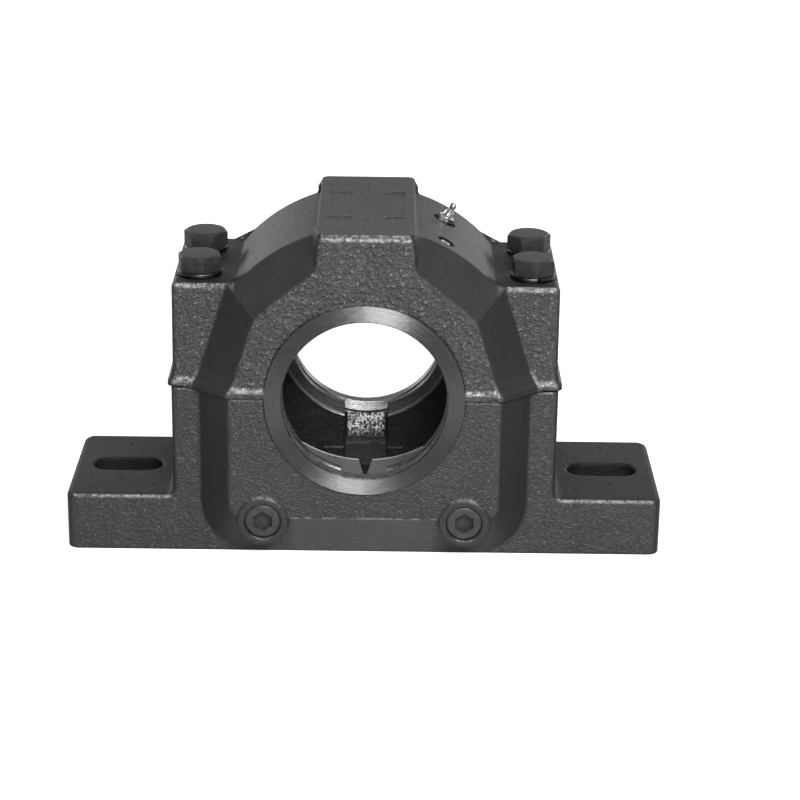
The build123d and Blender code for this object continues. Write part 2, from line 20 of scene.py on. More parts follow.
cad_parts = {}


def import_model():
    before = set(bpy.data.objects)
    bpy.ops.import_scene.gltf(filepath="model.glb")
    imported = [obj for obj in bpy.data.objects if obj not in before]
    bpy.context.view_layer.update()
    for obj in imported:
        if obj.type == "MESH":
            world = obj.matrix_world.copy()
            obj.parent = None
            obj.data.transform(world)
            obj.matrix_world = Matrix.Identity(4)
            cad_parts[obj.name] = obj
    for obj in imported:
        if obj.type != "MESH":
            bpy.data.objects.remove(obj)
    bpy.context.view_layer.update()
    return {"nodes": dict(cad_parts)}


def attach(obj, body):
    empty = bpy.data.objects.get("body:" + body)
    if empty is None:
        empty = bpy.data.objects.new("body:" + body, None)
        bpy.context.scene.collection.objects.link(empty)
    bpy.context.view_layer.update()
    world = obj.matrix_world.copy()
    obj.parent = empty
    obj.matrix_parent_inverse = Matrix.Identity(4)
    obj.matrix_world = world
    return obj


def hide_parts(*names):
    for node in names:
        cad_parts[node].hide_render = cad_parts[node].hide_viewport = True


log = logging.getLogger("housing")

Node = bpy.types.Node
Socket = bpy.types.NodeSocket
Piece = bpy.types.Object
Input = Union[Socket, float, int, Sequence[float]]
Pair = tuple[float, float]
Triple = tuple[float, float, float]
Grey = tuple[float, float, float, float]


class Slot(Enum):
    """Material slots of the record."""

    BOLT = "dark_bolt_steel"


class Mixing(Enum):
    """What a Mix node mixes: its data type, place of the first value and place of the result."""

    VALUES = ("FLOAT", 2, 0)
    NORMALS = ("VECTOR", 4, 1)
    COLOURS = ("RGBA", 6, 2)


@dataclass(frozen=True)
class HousingGauge:
    """Sizes of the housing that more than one finish or piece lines up with, in metres."""

    shaft_height: float = 0.160
    face: float = 0.103
    ring_face: float = 0.106
    ring_radius: float = 0.090
    bore_radius: float = 0.0744
    groove_radius: float = 0.084
    wall_inside: float = 0.074
    lip_inside: float = 0.082
    flare_radius: float = 0.083
    groove_inside: float = 0.088
    groove_outside: float = 0.094
    return_half: float = 0.021
    seat_radius: float = 0.115
    seat_half_width: float = 0.044
    chamber_radius: float = 0.126
    sump_floor: float = 0.024
    sump_rise: float = 0.009
    foot_height: float = 0.055
    slot_inner: float = 0.190
    slot_outer: float = 0.260
    slot_half_width: float = 0.0175
    port_angle: float = 28.0
    plug_y: float = -0.0505
    plug_seat: float = 0.0075
    nipple_y: float = 0.016
    nipple_seat: float = 0.0105
    boss_top: float = 0.070
    seam_height: float = 0.0450
    seam_half: float = 0.066
    wall_swell: float = 0.0690
    neck_half: float = 0.0395
    lug_start: float = 0.118
    shoulder_start: float = 0.190
    bolt_seat: float = 0.257
    bolt_x: float = 0.151
    bolt_y: float = 0.038
    washer_height: float = 0.005


@dataclass(frozen=True)
class ZoneMargin:
    """How far zones reach past the sizes that bound them, and how they fade, in metres."""

    trace: float = 0.0001
    crisp: float = 0.0002
    hair: float = 0.0003
    thin: float = 0.0004
    slim: float = 0.0005
    narrow: float = 0.0006
    flare_edge: float = 0.0007
    face: float = 0.0008
    seam: float = 0.0009
    wide: float = 0.001
    rim: float = 0.0012
    broad: float = 0.002
    fade: float = 0.0030
    soft: float = 0.004
    seat_edge: float = 0.0045
    ample: float = 0.006
    foot_top: float = 0.011
    foot_edge: float = 0.02
    chute_fade: Pair = (0.050, 0.063)


@dataclass(frozen=True)
class ZoneFacing:
    """Share of a facing at which a zone starts or ends, each with the softness of its change."""

    ring_out: Pair = (0.6, 0.1)
    flat_out: Pair = (0.8, 0.1)
    end_face_out: Pair = (0.86, 0.07)
    edge_out: Pair = (0.5, 0.1)
    slanted_out: Triple = (0.12, 0.83, 0.05)
    sideways: Pair = (0.3, 0.1)
    level: Pair = (0.95, 0.03)
    slot_wall_up: Pair = (0.9, 0.05)
    rounding_up: Triple = (0.25, 0.97, 0.06)
    top_up: Pair = (0.55, 0.2)
    lug_up: Pair = (0.93, 0.03)
    edge_up: Pair = (0.2, 0.05)
    foot_edge_up: Triple = (0.42, 0.72, 0.08)


GAUGE = HousingGauge()
MARGIN = ZoneMargin()
FACING = ZoneFacing()


def sockets(kind: str, *names: str) -> dict[str, str]:
    """Socket types by name, all of one kind."""
    return dict.fromkeys(names, "NodeSocket" + kind)


class NodeBench:
    """Adds nodes to one tree and links them, so that a finish reads as a list of steps."""

    def __init__(self, tree: bpy.types.NodeTree) -> None:
        """Takes the tree that the nodes go into."""
        self.tree = tree

    def add(self, kind: str, inputs: Optional[dict] = None, **settings: object) -> Node:
        """Adds one node.

        Args:
            kind: Blender's type name of the node.
            inputs: What its inputs get, by name or place.
            **settings: Attributes of the node to set.
        Returns:
            The new node.
        """
        node = self.tree.nodes.new(kind)
        for name, value in settings.items():
            setattr(node, name, value)
        return self.fill(node, inputs or {})

    def fill(self, node: Node, inputs: dict) -> Node:
        """Feeds a node's inputs, given by name or place, and returns the node."""
        for name, source in inputs.items():
            self.feed(node.inputs[name], source)
        return node

    def feed(self, socket: Socket, source: Input) -> None:
        """Links a socket to the source, or sets its value where the source is a plain value."""
        if isinstance(source, bpy.types.NodeSocket):
            self.tree.links.new(source, socket)
        else:
            socket.default_value = source

    def math(self, operation: str, first: Input, second: Input = 0.0, clamp: bool = False) -> Socket:
        """Adds a Math node.

        Args:
            operation: Name of the operation.
            first: First operand.
            second: Second operand.
            clamp: Whether the result is held between 0 and 1.
        Returns:
            The result socket.
        """
        operands = {0: first, 1: second}
        return self.add("ShaderNodeMath", operands, operation=operation, use_clamp=clamp).outputs[0]

    def product(self, *factors: Input) -> Socket:
        """Multiplies two or more values."""
        return reduce(partial(self.math, "MULTIPLY"), factors)

    def total(self, *terms: Input) -> Socket:
        """Adds two or more values."""
        return reduce(partial(self.math, "ADD"), terms)

    def either(self, *masks: Input) -> Socket:
        """Largest of two or more masks."""
        return reduce(partial(self.math, "MAXIMUM"), masks)

    def inverse(self, mask: Input) -> Socket:
        """Mask that is 1 where the given one is 0."""
        return self.math("SUBTRACT", 1.0, mask)

    def without(self, mask: Input, *others: Input) -> Socket:
        """What the others leave of a mask."""
        return self.math("SUBTRACT", mask, self.either(*others), clamp=True)

    def size(self, value: Input) -> Socket:
        """Value without its sign."""
        return self.math("ABSOLUTE", value)

    def reach(self, first: Input, second: Input) -> Socket:
        """Distance that two offsets at right angles make."""
        squares = self.total(self.product(first, first), self.product(second, second))
        return self.math("SQRT", squares)

    def beyond(self, value: Input, edge: float, soft: float = MARGIN.hair) -> Socket:
        """Mask that is 1 where the value is above the edge.

        Args:
            value: The value tested.
            edge: Where the mask crosses one half.
            soft: Half the width of the change.
        Returns:
            The mask socket.
        """
        inputs = {"Value": value, "From Min": edge - soft, "From Max": edge + soft}
        return self.add("ShaderNodeMapRange", inputs, interpolation_type="SMOOTHSTEP").outputs["Result"]

    def below(self, value: Input, edge: float, soft: float = MARGIN.hair) -> Socket:
        """Mask that is 1 where the value is under the edge."""
        return self.inverse(self.beyond(value, edge, soft))

    def between(self, value: Input, low: float, high: float, soft: float = MARGIN.hair) -> Socket:
        """Mask that is 1 where the value lies between two edges."""
        return self.product(self.beyond(value, low, soft), self.below(value, high, soft))

    def stretch(
        self, value: Input, low: float, high: float, to_low: float = 0.0, to_high: float = 1.0
    ) -> Socket:
        """Maps a range of values onto another one, held at its ends.

        Args:
            value: The value mapped.
            low: Start of the range.
            high: End of the range.
            to_low: What the start becomes.
            to_high: What the end becomes.
        Returns:
            The mapped socket.
        """
        names = ("Value", "From Min", "From Max", "To Min", "To Max")
        inputs = dict(zip(names, (value, low, high, to_low, to_high)))
        return self.add("ShaderNodeMapRange", inputs).outputs["Result"]

    def mix(self, what: Mixing, share: Input, low: Input, high: Input) -> Socket:
        """Mixes two values, normals or colours by a share.

        Args:
            what: What is mixed.
            share: Share of the second one.
            low: The first one.
            high: The second one.
        Returns:
            The mixed socket.
        """
        kind, first, result = what.value
        inputs = {0: share, first: low, first + 1: high}
        return self.add("ShaderNodeMix", inputs, data_type=kind).outputs[result]

    def vector(self, operation: str, *operands: Input) -> Socket:
        """Adds a Vector Math node.

        Args:
            operation: Name of the operation.
            *operands: Its vectors in order.
        Returns:
            The vector socket.
        """
        inputs = dict(enumerate(operands))
        return self.add("ShaderNodeVectorMath", inputs, operation=operation).outputs[0]

    def noise(self, where: Socket, scale: Input, detail: float = 3.0, roughness: float = 0.5) -> Socket:
        """Adds a noise texture.

        Args:
            where: Coordinates.
            scale: Cells in a metre.
            detail: Number of finer layers.
            roughness: Weight of the finer layers.
        Returns:
            The value socket.
        """
        inputs = {"Vector": where, "Scale": scale, "Detail": detail, "Roughness": roughness}
        return self.add("ShaderNodeTexNoise", inputs).outputs["Fac"]

    def layers(self, first: Input, *layers: tuple[Input, Input]) -> Socket:
        """Lays values over each other.

        Args:
            first: Value at the bottom.
            *layers: Pairs of a mask and the value that shows where the mask is 1.
        Returns:
            The value on top.
        """
        total = first
        for mask, value in layers:
            total = self.mix(Mixing.VALUES, mask, total, value)
        return total

    def parts(self, vector: Socket) -> tuple[Socket, Socket, Socket]:
        """Splits a vector into its three values."""
        return tuple(self.add("ShaderNodeSeparateXYZ", {0: vector}).outputs)

    def join(self, x: Input, y: Input, z: Input) -> Socket:
        """Makes a vector of three values."""
        return self.add("ShaderNodeCombineXYZ", {0: x, 1: y, 2: z}).outputs[0]

    def bump(self, height: Socket, depth: float, under: Optional[Socket] = None) -> Socket:
        """Turns a height into a normal.

        Args:
            height: Height from 0 to 1.
            depth: What a height of 1 is in metres.
            under: Normal that the relief lies on.
        Returns:
            The normal socket.
        """
        inputs = {"Strength": 1.0, "Distance": depth, "Height": height}
        if under is not None:
            inputs["Normal"] = under
        return self.add("ShaderNodeBump", inputs).outputs["Normal"]

    def place(self, group: bpy.types.NodeTree, **inputs: Input) -> bpy.types.NodeOutputs:
        """Places a shared group.

        Args:
            group: The group's tree.
            **inputs: Its inputs by name, with an underscore for each space.
        Returns:
            The outputs of the group node.
        """
        named = {name.replace("_", " "): source for name, source in inputs.items()}
        return self.add("ShaderNodeGroup", named, node_tree=group).outputs


class GroupBench(NodeBench):
    """Bench for a new shader node group, with the group's own inputs by name."""

    def __init__(self, name: str, inputs: dict[str, str], outputs: dict[str, str]) -> None:
        """Starts the group.

        Args:
            name: The group's name.
            inputs: Input names and their socket types.
            outputs: Output names and their socket types.
        """
        super().__init__(bpy.data.node_groups.new(name, "ShaderNodeTree"))
        for end, labels in (("INPUT", inputs), ("OUTPUT", outputs)):
            for label, kind in labels.items():
                self.tree.interface.new_socket(name=label, in_out=end, socket_type=kind)
        start = self.add("NodeGroupInput")
        self.given = {label: start.outputs[label] for label in inputs}
        self.end = self.add("NodeGroupOutput")

    def give(self, **outputs: Input) -> None:
        """Feeds the group's outputs by name, with an underscore for each space."""
        self.fill(self.end, {name.replace("_", " "): source for name, source in outputs.items()})


@dataclass(frozen=True)
class Pattern:
    """Noise of one size, whose values from low to high become weights from weak to strong."""

    scale: float
    detail: float
    roughness: float = 0.5
    low: float = 0.3
    high: float = 0.7
    weak: float = 0.0
    strong: float = 1.0

    def noise(self, bench: NodeBench, where: Socket) -> Socket:
        """Adds the noise at the coordinates and returns its value."""
        return bench.noise(where, self.scale, self.detail, self.roughness)

    def lay(self, bench: NodeBench, where: Socket) -> Socket:
        """Adds the pattern at the coordinates and returns its weight."""
        return bench.stretch(self.noise(bench, where), self.low, self.high, self.weak, self.strong)


@dataclass(frozen=True)
class CastSkin:
    """Skin of a sand casting: pebbles of one size with pits between, over slow swells."""

    squash: Triple = (0.9, 1.0, 1.2)
    broad_grains: float = 0.42
    cell_grains: float = 1.35
    swell_grains: float = 0.12
    shine_grains: float = 1.6
    dome_width: float = 0.75
    pebble_weight: float = 0.75
    dome_weight: float = 0.2
    broad_weight: float = 0.8
    swell_weight: float = 1.4
    pit_dome: float = 0.5
    pebble_edge: Pair = (0.5, 0.2)
    pit_edge: Pair = (0.3, 0.22)
    fleck_edge: Pair = (0.60, 0.07)
    shine_edge: Pair = (0.56, 0.05)

    def tree(self) -> bpy.types.NodeTree:
        """Builds the group, which takes the number of grains in a metre.

        Returns:
            The group's tree.
        """
        inputs = sockets("Vector", "Position") | sockets("Float", "Grains")
        bench = GroupBench("Cast Skin", inputs, sockets("Float", "Height", "Pit", "Fleck"))
        where = bench.vector("MULTIPLY", bench.given["Position"], self.squash)
        grains = bench.given["Grains"]
        broad = bench.noise(where, bench.product(grains, self.broad_grains), 1.0)
        grain = bench.noise(where, grains, 2.0)
        cells = {"Vector": where, "Scale": bench.product(grains, self.cell_grains)}
        cell = bench.add("ShaderNodeTexVoronoi", cells, feature="F1").outputs["Distance"]
        swell = bench.noise(where, bench.product(grains, self.swell_grains), 2.0)
        pebble = bench.beyond(grain, *self.pebble_edge)
        dome = bench.stretch(cell, 0.0, self.dome_width, 1.0, 0.0)
        height = bench.total(
            bench.product(pebble, self.pebble_weight),
            bench.product(dome, self.dome_weight),
            bench.product(broad, self.broad_weight),
            bench.product(swell, self.swell_weight),
        )
        raised = bench.total(pebble, bench.product(dome, self.pit_dome))
        # Fleck: pebble tops picked by a second noise, which the finishes lighten as painted glints or specks.
        shine = bench.noise(where, bench.product(grains, self.shine_grains), 1.0)
        fleck = bench.product(bench.beyond(grain, *self.fleck_edge), bench.beyond(shine, *self.shine_edge))
        bench.give(Height=height, Pit=bench.below(raised, *self.pit_edge), Fleck=fleck)
        return bench.tree


@dataclass(frozen=True)
class TurningMarks:
    """Lathe marks round the shaft axis: fine grooves that lean the surface to both sides.

    Breaks are counted in one radian round the axis.
    """

    groove_breaks: float = 170.0
    wobble_breaks: float = 130.0
    wobble_scale: float = 1.3
    wobble_weight: float = 1.5
    flank: Pair = (0.47, 0.53)
    band_pitch: float = 0.0021
    band_breaks: float = 6.0
    band_roughness: float = 0.55
    groove_share: float = 0.4
    band_share: float = 0.6

    def tree(self) -> bpy.types.NodeTree:
        """Builds the group, which takes the grooves' pitch and how far they lean.

        Returns:
            The group's tree.
        """
        bench = GroupBench(
            "Turning Marks",
            sockets("Vector", "Position", "Normal") | sockets("Float", "Pitch", "Lean"),
            sockets("Vector", "Normal") | sockets("Float", "Streak"),
        )
        normal = bench.given["Normal"]
        x, y, z = bench.parts(bench.given["Position"])
        up = bench.math("SUBTRACT", z, GAUGE.shaft_height)
        radius = bench.reach(x, up)
        along = bench.total(radius, y)
        angle = bench.math("ARCTAN2", x, up)
        mark = bench.math("DIVIDE", along, bench.given["Pitch"])
        fine = bench.noise(bench.join(mark, bench.product(angle, self.groove_breaks), 0.0), 1.0, 1.0)
        back = bench.math("DIVIDE", bench.product(x, -1.0), radius)
        around = bench.join(bench.math("DIVIDE", up, radius), 0.0, back)
        across = bench.vector("CROSS_PRODUCT", around, normal)
        flank = bench.stretch(fine, *self.flank, -1.0, 1.0)
        wobble_at = bench.join(bench.product(angle, self.wobble_breaks), mark, 0.0)
        wobble = bench.math("SUBTRACT", bench.noise(wobble_at, self.wobble_scale, 1.0), 0.5)
        slope = bench.total(flank, bench.product(wobble, self.wobble_weight))
        slope = bench.product(slope, bench.given["Lean"])
        leaning = bench.vector("MULTIPLY_ADD", across, bench.join(slope, slope, slope), normal)
        band = bench.math("DIVIDE", along, self.band_pitch)
        band_at = bench.join(band, bench.product(angle, self.band_breaks), 0.0)
        bands = bench.noise(band_at, 1.0, 3.0, self.band_roughness)
        streak = bench.total(bench.product(fine, self.groove_share), bench.product(bands, self.band_share))
        bench.give(Normal=bench.vector("NORMALIZE", leaning), Streak=streak)
        return bench.tree


@dataclass(frozen=True)
class SettledDust:
    """Pale dust in patches on what faces up, and in specks."""

    patches: Pattern = Pattern(38.0, 5.0, 0.65, 0.35, 0.75)
    speck_scale: float = 900.0
    speck_edge: Pair = (0.66, 0.05)
    speck_weight: float = 0.7
    upward: Pair = (0.5, 0.4)

    def tree(self) -> bpy.types.NodeTree:
        """Builds the group, which takes the amount of dust.

        Returns:
            The group's tree.
        """
        inputs = sockets("Vector", "Position", "Normal") | sockets("Float", "Amount")
        bench = GroupBench("Settled Dust", inputs, sockets("Float", "Mask"))
        where = bench.given["Position"]
        up = bench.parts(bench.given["Normal"])[2]
        lie = bench.product(bench.beyond(up, *self.upward), self.patches.lay(bench, where))
        speck = bench.beyond(bench.noise(where, self.speck_scale, 2.0), *self.speck_edge)
        dust = bench.total(lie, bench.product(speck, self.speck_weight))
        bench.give(Mask=bench.product(bench.given["Amount"], dust))
        return bench.tree


class HousingZones(GroupBench):
    """Zones of the castings, by place and facing: machined, inside, rough and smooth faces."""

    seam_noise: float = 95.0
    seam_break: Pair = (0.50, 0.05)
    names: tuple[str, ...] = (
        "Ring", "Inner Face", "Lip", "Bore", "Flare", "Flare Edge", "Seat", "Seat Edge", "Inside",
        "Chute", "Joint", "Front", "Keel", "Oblique", "Boss", "Seam", "Top", "Low", "Edge", "Crease", "Grime",
    )

    def __init__(self) -> None:
        """Starts the group, takes the measures that bound the zones and draws the zones."""
        inputs = sockets("Vector", "Position", "Normal", "Soft Normal")
        super().__init__("Housing Zones", inputs, sockets("Float", *self.names))
        self.x, self.y, self.z = self.parts(self.given["Position"])
        self.side, self.depth = self.size(self.x), self.size(self.y)
        self.up = self.math("SUBTRACT", self.z, GAUGE.shaft_height)
        self.radius = self.reach(self.x, self.up)
        facing = self.parts(self.given["Normal"])
        soft_facing = self.parts(self.given["Soft Normal"])
        machined = self._turned(self.size(facing[1]))
        inside = self._hollows(facing[2])
        self._joints(self.size(facing[2]))
        self._painted(self.without(1.0, *machined, inside), *soft_facing)
        self._details()

    def _turned(self, faces_out: Socket) -> tuple[Socket, ...]:
        """Ring, bore, flare and bearing seat, with the oil return chute that cuts into them.

        Args:
            faces_out: How far a face looks along the shaft.
        Returns:
            The masks of ring, bore, flare and seat.
        """
        radius, depth = self.radius, self.depth
        ring = self.product(
            self.below(radius, GAUGE.ring_radius + MARGIN.hair),
            self.beyond(depth, GAUGE.ring_face - MARGIN.rim),
            self.beyond(faces_out, *FACING.ring_out),
        )
        bore = self.product(
            self.below(radius, GAUGE.groove_radius + MARGIN.wide),
            self.beyond(depth, GAUGE.wall_inside - MARGIN.hair),
            self.inverse(ring),
            self.beyond(radius, GAUGE.bore_radius - MARGIN.broad),
        )
        self.chute = self.product(
            self.below(self.side, GAUGE.return_half + MARGIN.slim),
            self.between(depth, GAUGE.wall_inside - MARGIN.slim, GAUGE.groove_inside + MARGIN.slim),
            self.below(self.up, MARGIN.narrow - GAUGE.groove_radius),
            self.beyond(self.z, GAUGE.sump_floor),
        )
        flare = self.product(
            self.between(radius, GAUGE.bore_radius + MARGIN.thin, GAUGE.flare_radius + MARGIN.narrow),
            self.between(depth, GAUGE.wall_inside - MARGIN.thin, GAUGE.lip_inside + MARGIN.crisp),
            self.inverse(self.chute),
        )
        bore = self.without(bore, self.chute, flare)
        seat = self.product(
            self.between(radius, GAUGE.seat_radius - MARGIN.wide, GAUGE.seat_radius + MARGIN.broad),
            self.below(depth, GAUGE.seat_half_width + MARGIN.thin),
        )
        lip_depth = self.beyond(depth, GAUGE.groove_outside - MARGIN.slim)
        self.give(
            Ring=ring,
            Bore=bore,
            Flare=flare,
            Seat=seat,
            Lip=self.product(bore, lip_depth, self.below(radius, GAUGE.bore_radius + MARGIN.wide)),
            # Thin lines at the flare's rim and the seat's back edge, which the finish lightens as painted
            # highlights.
            Flare_Edge=self.product(flare, self.beyond(radius, GAUGE.flare_radius - MARGIN.flare_edge)),
            Seat_Edge=self.product(seat, self.beyond(depth, GAUGE.seat_half_width - MARGIN.seat_edge)),
        )
        self.bore, self.flare, self.seat = bore, flare, seat
        return ring, bore, flare, seat

    def _hollows(self, faces_up: Socket) -> Socket:
        """Chambers, sump, chute and foot slots.

        Args:
            faces_up: How far a face looks up.
        Returns:
            The mask of all of them.
        """
        sump = self.product(
            self.below(self.side, GAUGE.chamber_radius + MARGIN.narrow),
            self.below(self.up, GAUGE.sump_rise),
            self.beyond(self.z, GAUGE.sump_floor - MARGIN.narrow),
        )
        slot = self.product(
            self.between(self.side, GAUGE.slot_inner - MARGIN.hair, GAUGE.slot_outer + MARGIN.hair),
            self.below(self.depth, GAUGE.slot_half_width + MARGIN.hair),
            self.below(self.z, GAUGE.foot_height + MARGIN.hair),
            self.below(faces_up, *FACING.slot_wall_up),
        )
        hollow = self.either(self.below(self.radius, GAUGE.chamber_radius + MARGIN.narrow), sump)
        hollow = self.product(hollow, self.below(self.depth, GAUGE.wall_inside + MARGIN.narrow))
        inside = self.without(self.either(hollow, self.chute, slot), self.seat, self.flare)
        # Chute: its floor gets painted highlights in flecks, fading out toward the bottom.
        chute = self.product(
            self.chute,
            self.below(self.side, GAUGE.return_half - MARGIN.fade, MARGIN.rim),
            self.stretch(self.z, *MARGIN.chute_fade),
        )
        self.give(Inside=inside, Chute=chute)
        return inside

    def _joints(self, faces_level: Socket) -> None:
        """Machined joint between the castings, and the underside.

        Args:
            faces_level: How far a face looks up or down.
        """
        low, high = GAUGE.shaft_height - MARGIN.thin, GAUGE.shaft_height + MARGIN.thin
        joint = self.between(self.z, low, high, MARGIN.crisp)
        foot = self.below(self.z, MARGIN.slim)
        level = self.beyond(faces_level, *FACING.level)
        self.give(Joint=self.product(self.either(joint, foot), level))

    def _painted(self, outside: Socket, facing_x: Socket, facing_y: Socket, faces_up: Socket) -> None:
        """End faces, slanted faces, tops, roundings, bosses, the seam of the mould and inner faces.

        Args:
            outside: Mask of the painted faces.
            facing_x: Softened facing along the foot.
            facing_y: Softened facing along the shaft.
            faces_up: How far a softened face looks up.
        """
        faces_out = self.size(facing_y)
        flat_out = self.beyond(faces_out, *FACING.flat_out)
        swelled = self.beyond(self.depth, GAUGE.wall_swell, MARGIN.fade)
        slanted = self.product(self.between(faces_out, *FACING.slanted_out), swelled)
        shoulder = self.product(
            self.between(self.side, GAUGE.neck_half, GAUGE.lug_start, MARGIN.wide),
            self.beyond(self.z, GAUGE.shoulder_start),
        )
        rounding = self.product(
            self.between(faces_up, *FACING.rounding_up),
            self.below(self.size(facing_x), *FACING.sideways),
            self.inverse(shoulder),
        )
        raised = self.beyond(self.depth, GAUGE.face + MARGIN.face)
        boss = self.product(raised, self.below(self.z, GAUGE.boss_top), flat_out)
        oblique = self.product(slanted, outside, self.inverse(rounding))
        top = self.product(self.beyond(faces_up, *FACING.top_up), self.inverse(oblique))
        # Edge: rounded edges that look up and out, where the finish paints a highlight broken up like wear.
        edge_out, edge_up = self.beyond(faces_out, *FACING.edge_out), self.beyond(faces_up, *FACING.edge_up)
        edge = self.product(outside, rounding, edge_out, edge_up)
        above_foot = self.beyond(self.z, GAUGE.foot_height + MARGIN.foot_edge)
        seam_low, seam_high = GAUGE.seam_height - MARGIN.seam, GAUGE.seam_height + MARGIN.seam
        broken = self.beyond(self.noise(self.given["Position"], self.seam_noise, 2.0), *self.seam_break)
        keel = self.product(
            self.below(self.z, GAUGE.seam_height, MARGIN.wide),
            self.below(self.side, GAUGE.seam_half, MARGIN.ample),
        )
        lug_band = self.between(self.z, GAUGE.bolt_seat - MARGIN.wide, GAUGE.bolt_seat + MARGIN.ample)
        # Lug and foot tops: the low zone, which gets painted shade.
        lug_top = self.product(lug_band, self.beyond(faces_up, *FACING.lug_up))
        foot_top = self.below(self.z, GAUGE.foot_height + MARGIN.foot_top, MARGIN.soft)
        self.give(
            Inner_Face=self.product(self.bore, flat_out),
            Edge=self.product(edge, self.either(above_foot, self.between(faces_up, *FACING.foot_edge_up))),
            Front=self.product(self.beyond(faces_out, *FACING.end_face_out), outside, self.inverse(boss)),
            Oblique=oblique,
            Boss=boss,
            Seam=self.product(
                self.between(self.z, seam_low, seam_high, MARGIN.narrow),
                self.below(self.side, GAUGE.seam_half, MARGIN.soft),
                flat_out,
                broken,
            ),
            Keel=self.product(keel, flat_out, outside),
            Top=self.product(top, outside),
            Low=self.product(top, outside, self.either(foot_top, lug_top)),
        )

    def _details(self) -> None:
        """Shadow line round the ring, and grime with painted shade round the nipple and the port plug."""
        crease = self.product(
            self.between(self.radius, GAUGE.ring_radius - MARGIN.trace, GAUGE.ring_radius + MARGIN.rim),
            self.between(self.depth, GAUGE.face - MARGIN.face, GAUGE.ring_face - MARGIN.wide),
        )
        lean = math.radians(GAUGE.port_angle)
        level, rise = self.product(self.x, math.cos(lean)), self.product(self.up, math.sin(lean))
        across = self.math("SUBTRACT", level, rise)
        ports = []
        for place, seat_radius in ((GAUGE.plug_y, GAUGE.plug_seat), (GAUGE.nipple_y, GAUGE.nipple_seat)):
            reach = self.reach(across, self.math("SUBTRACT", self.y, place))
            ports.append(self.below(reach, seat_radius + MARGIN.rim, MARGIN.face))
        # Grime with painted shade on the spot faces round the nipple and the port plug.
        grime_and_shade = self.product(self.either(*ports), self.beyond(self.z, GAUGE.bolt_seat))
        self.give(Crease=crease, Grime=grime_and_shade)


class SharedEffects:
    """The node groups that the finishes use, each built once."""

    def __init__(self) -> None:
        """Builds all groups."""
        self.cast_skin = CastSkin().tree()
        self.turning = TurningMarks().tree()
        self.dust = SettledDust().tree()
        self.zones = HousingZones().tree


def new_material(name: str) -> tuple[bpy.types.Material, NodeBench, Node]:
    """Starts a material with one Principled shader.

    Args:
        name: The material's name.
    Returns:
        The material, the bench for its tree and the shader node.
    """
    material = bpy.data.materials.new(name)
    material.use_nodes = True
    material.node_tree.nodes.clear()
    bench = NodeBench(material.node_tree)
    shader = bench.add("ShaderNodeBsdfPrincipled")
    bench.add("ShaderNodeOutputMaterial", {"Surface": shader.outputs[0]})
    return material, bench, shader


def grey(level: float) -> Grey:
    """Neutral colour of one level."""
    return (level, level, level, 1.0)


def by_zone(**values: float) -> dict[str, float]:
    """Dataclass field of values by zone, with an underscore for each space in a zone's name."""
    named = {name.replace("_", " "): value for name, value in values.items()}
    return field(default_factory=lambda: named)


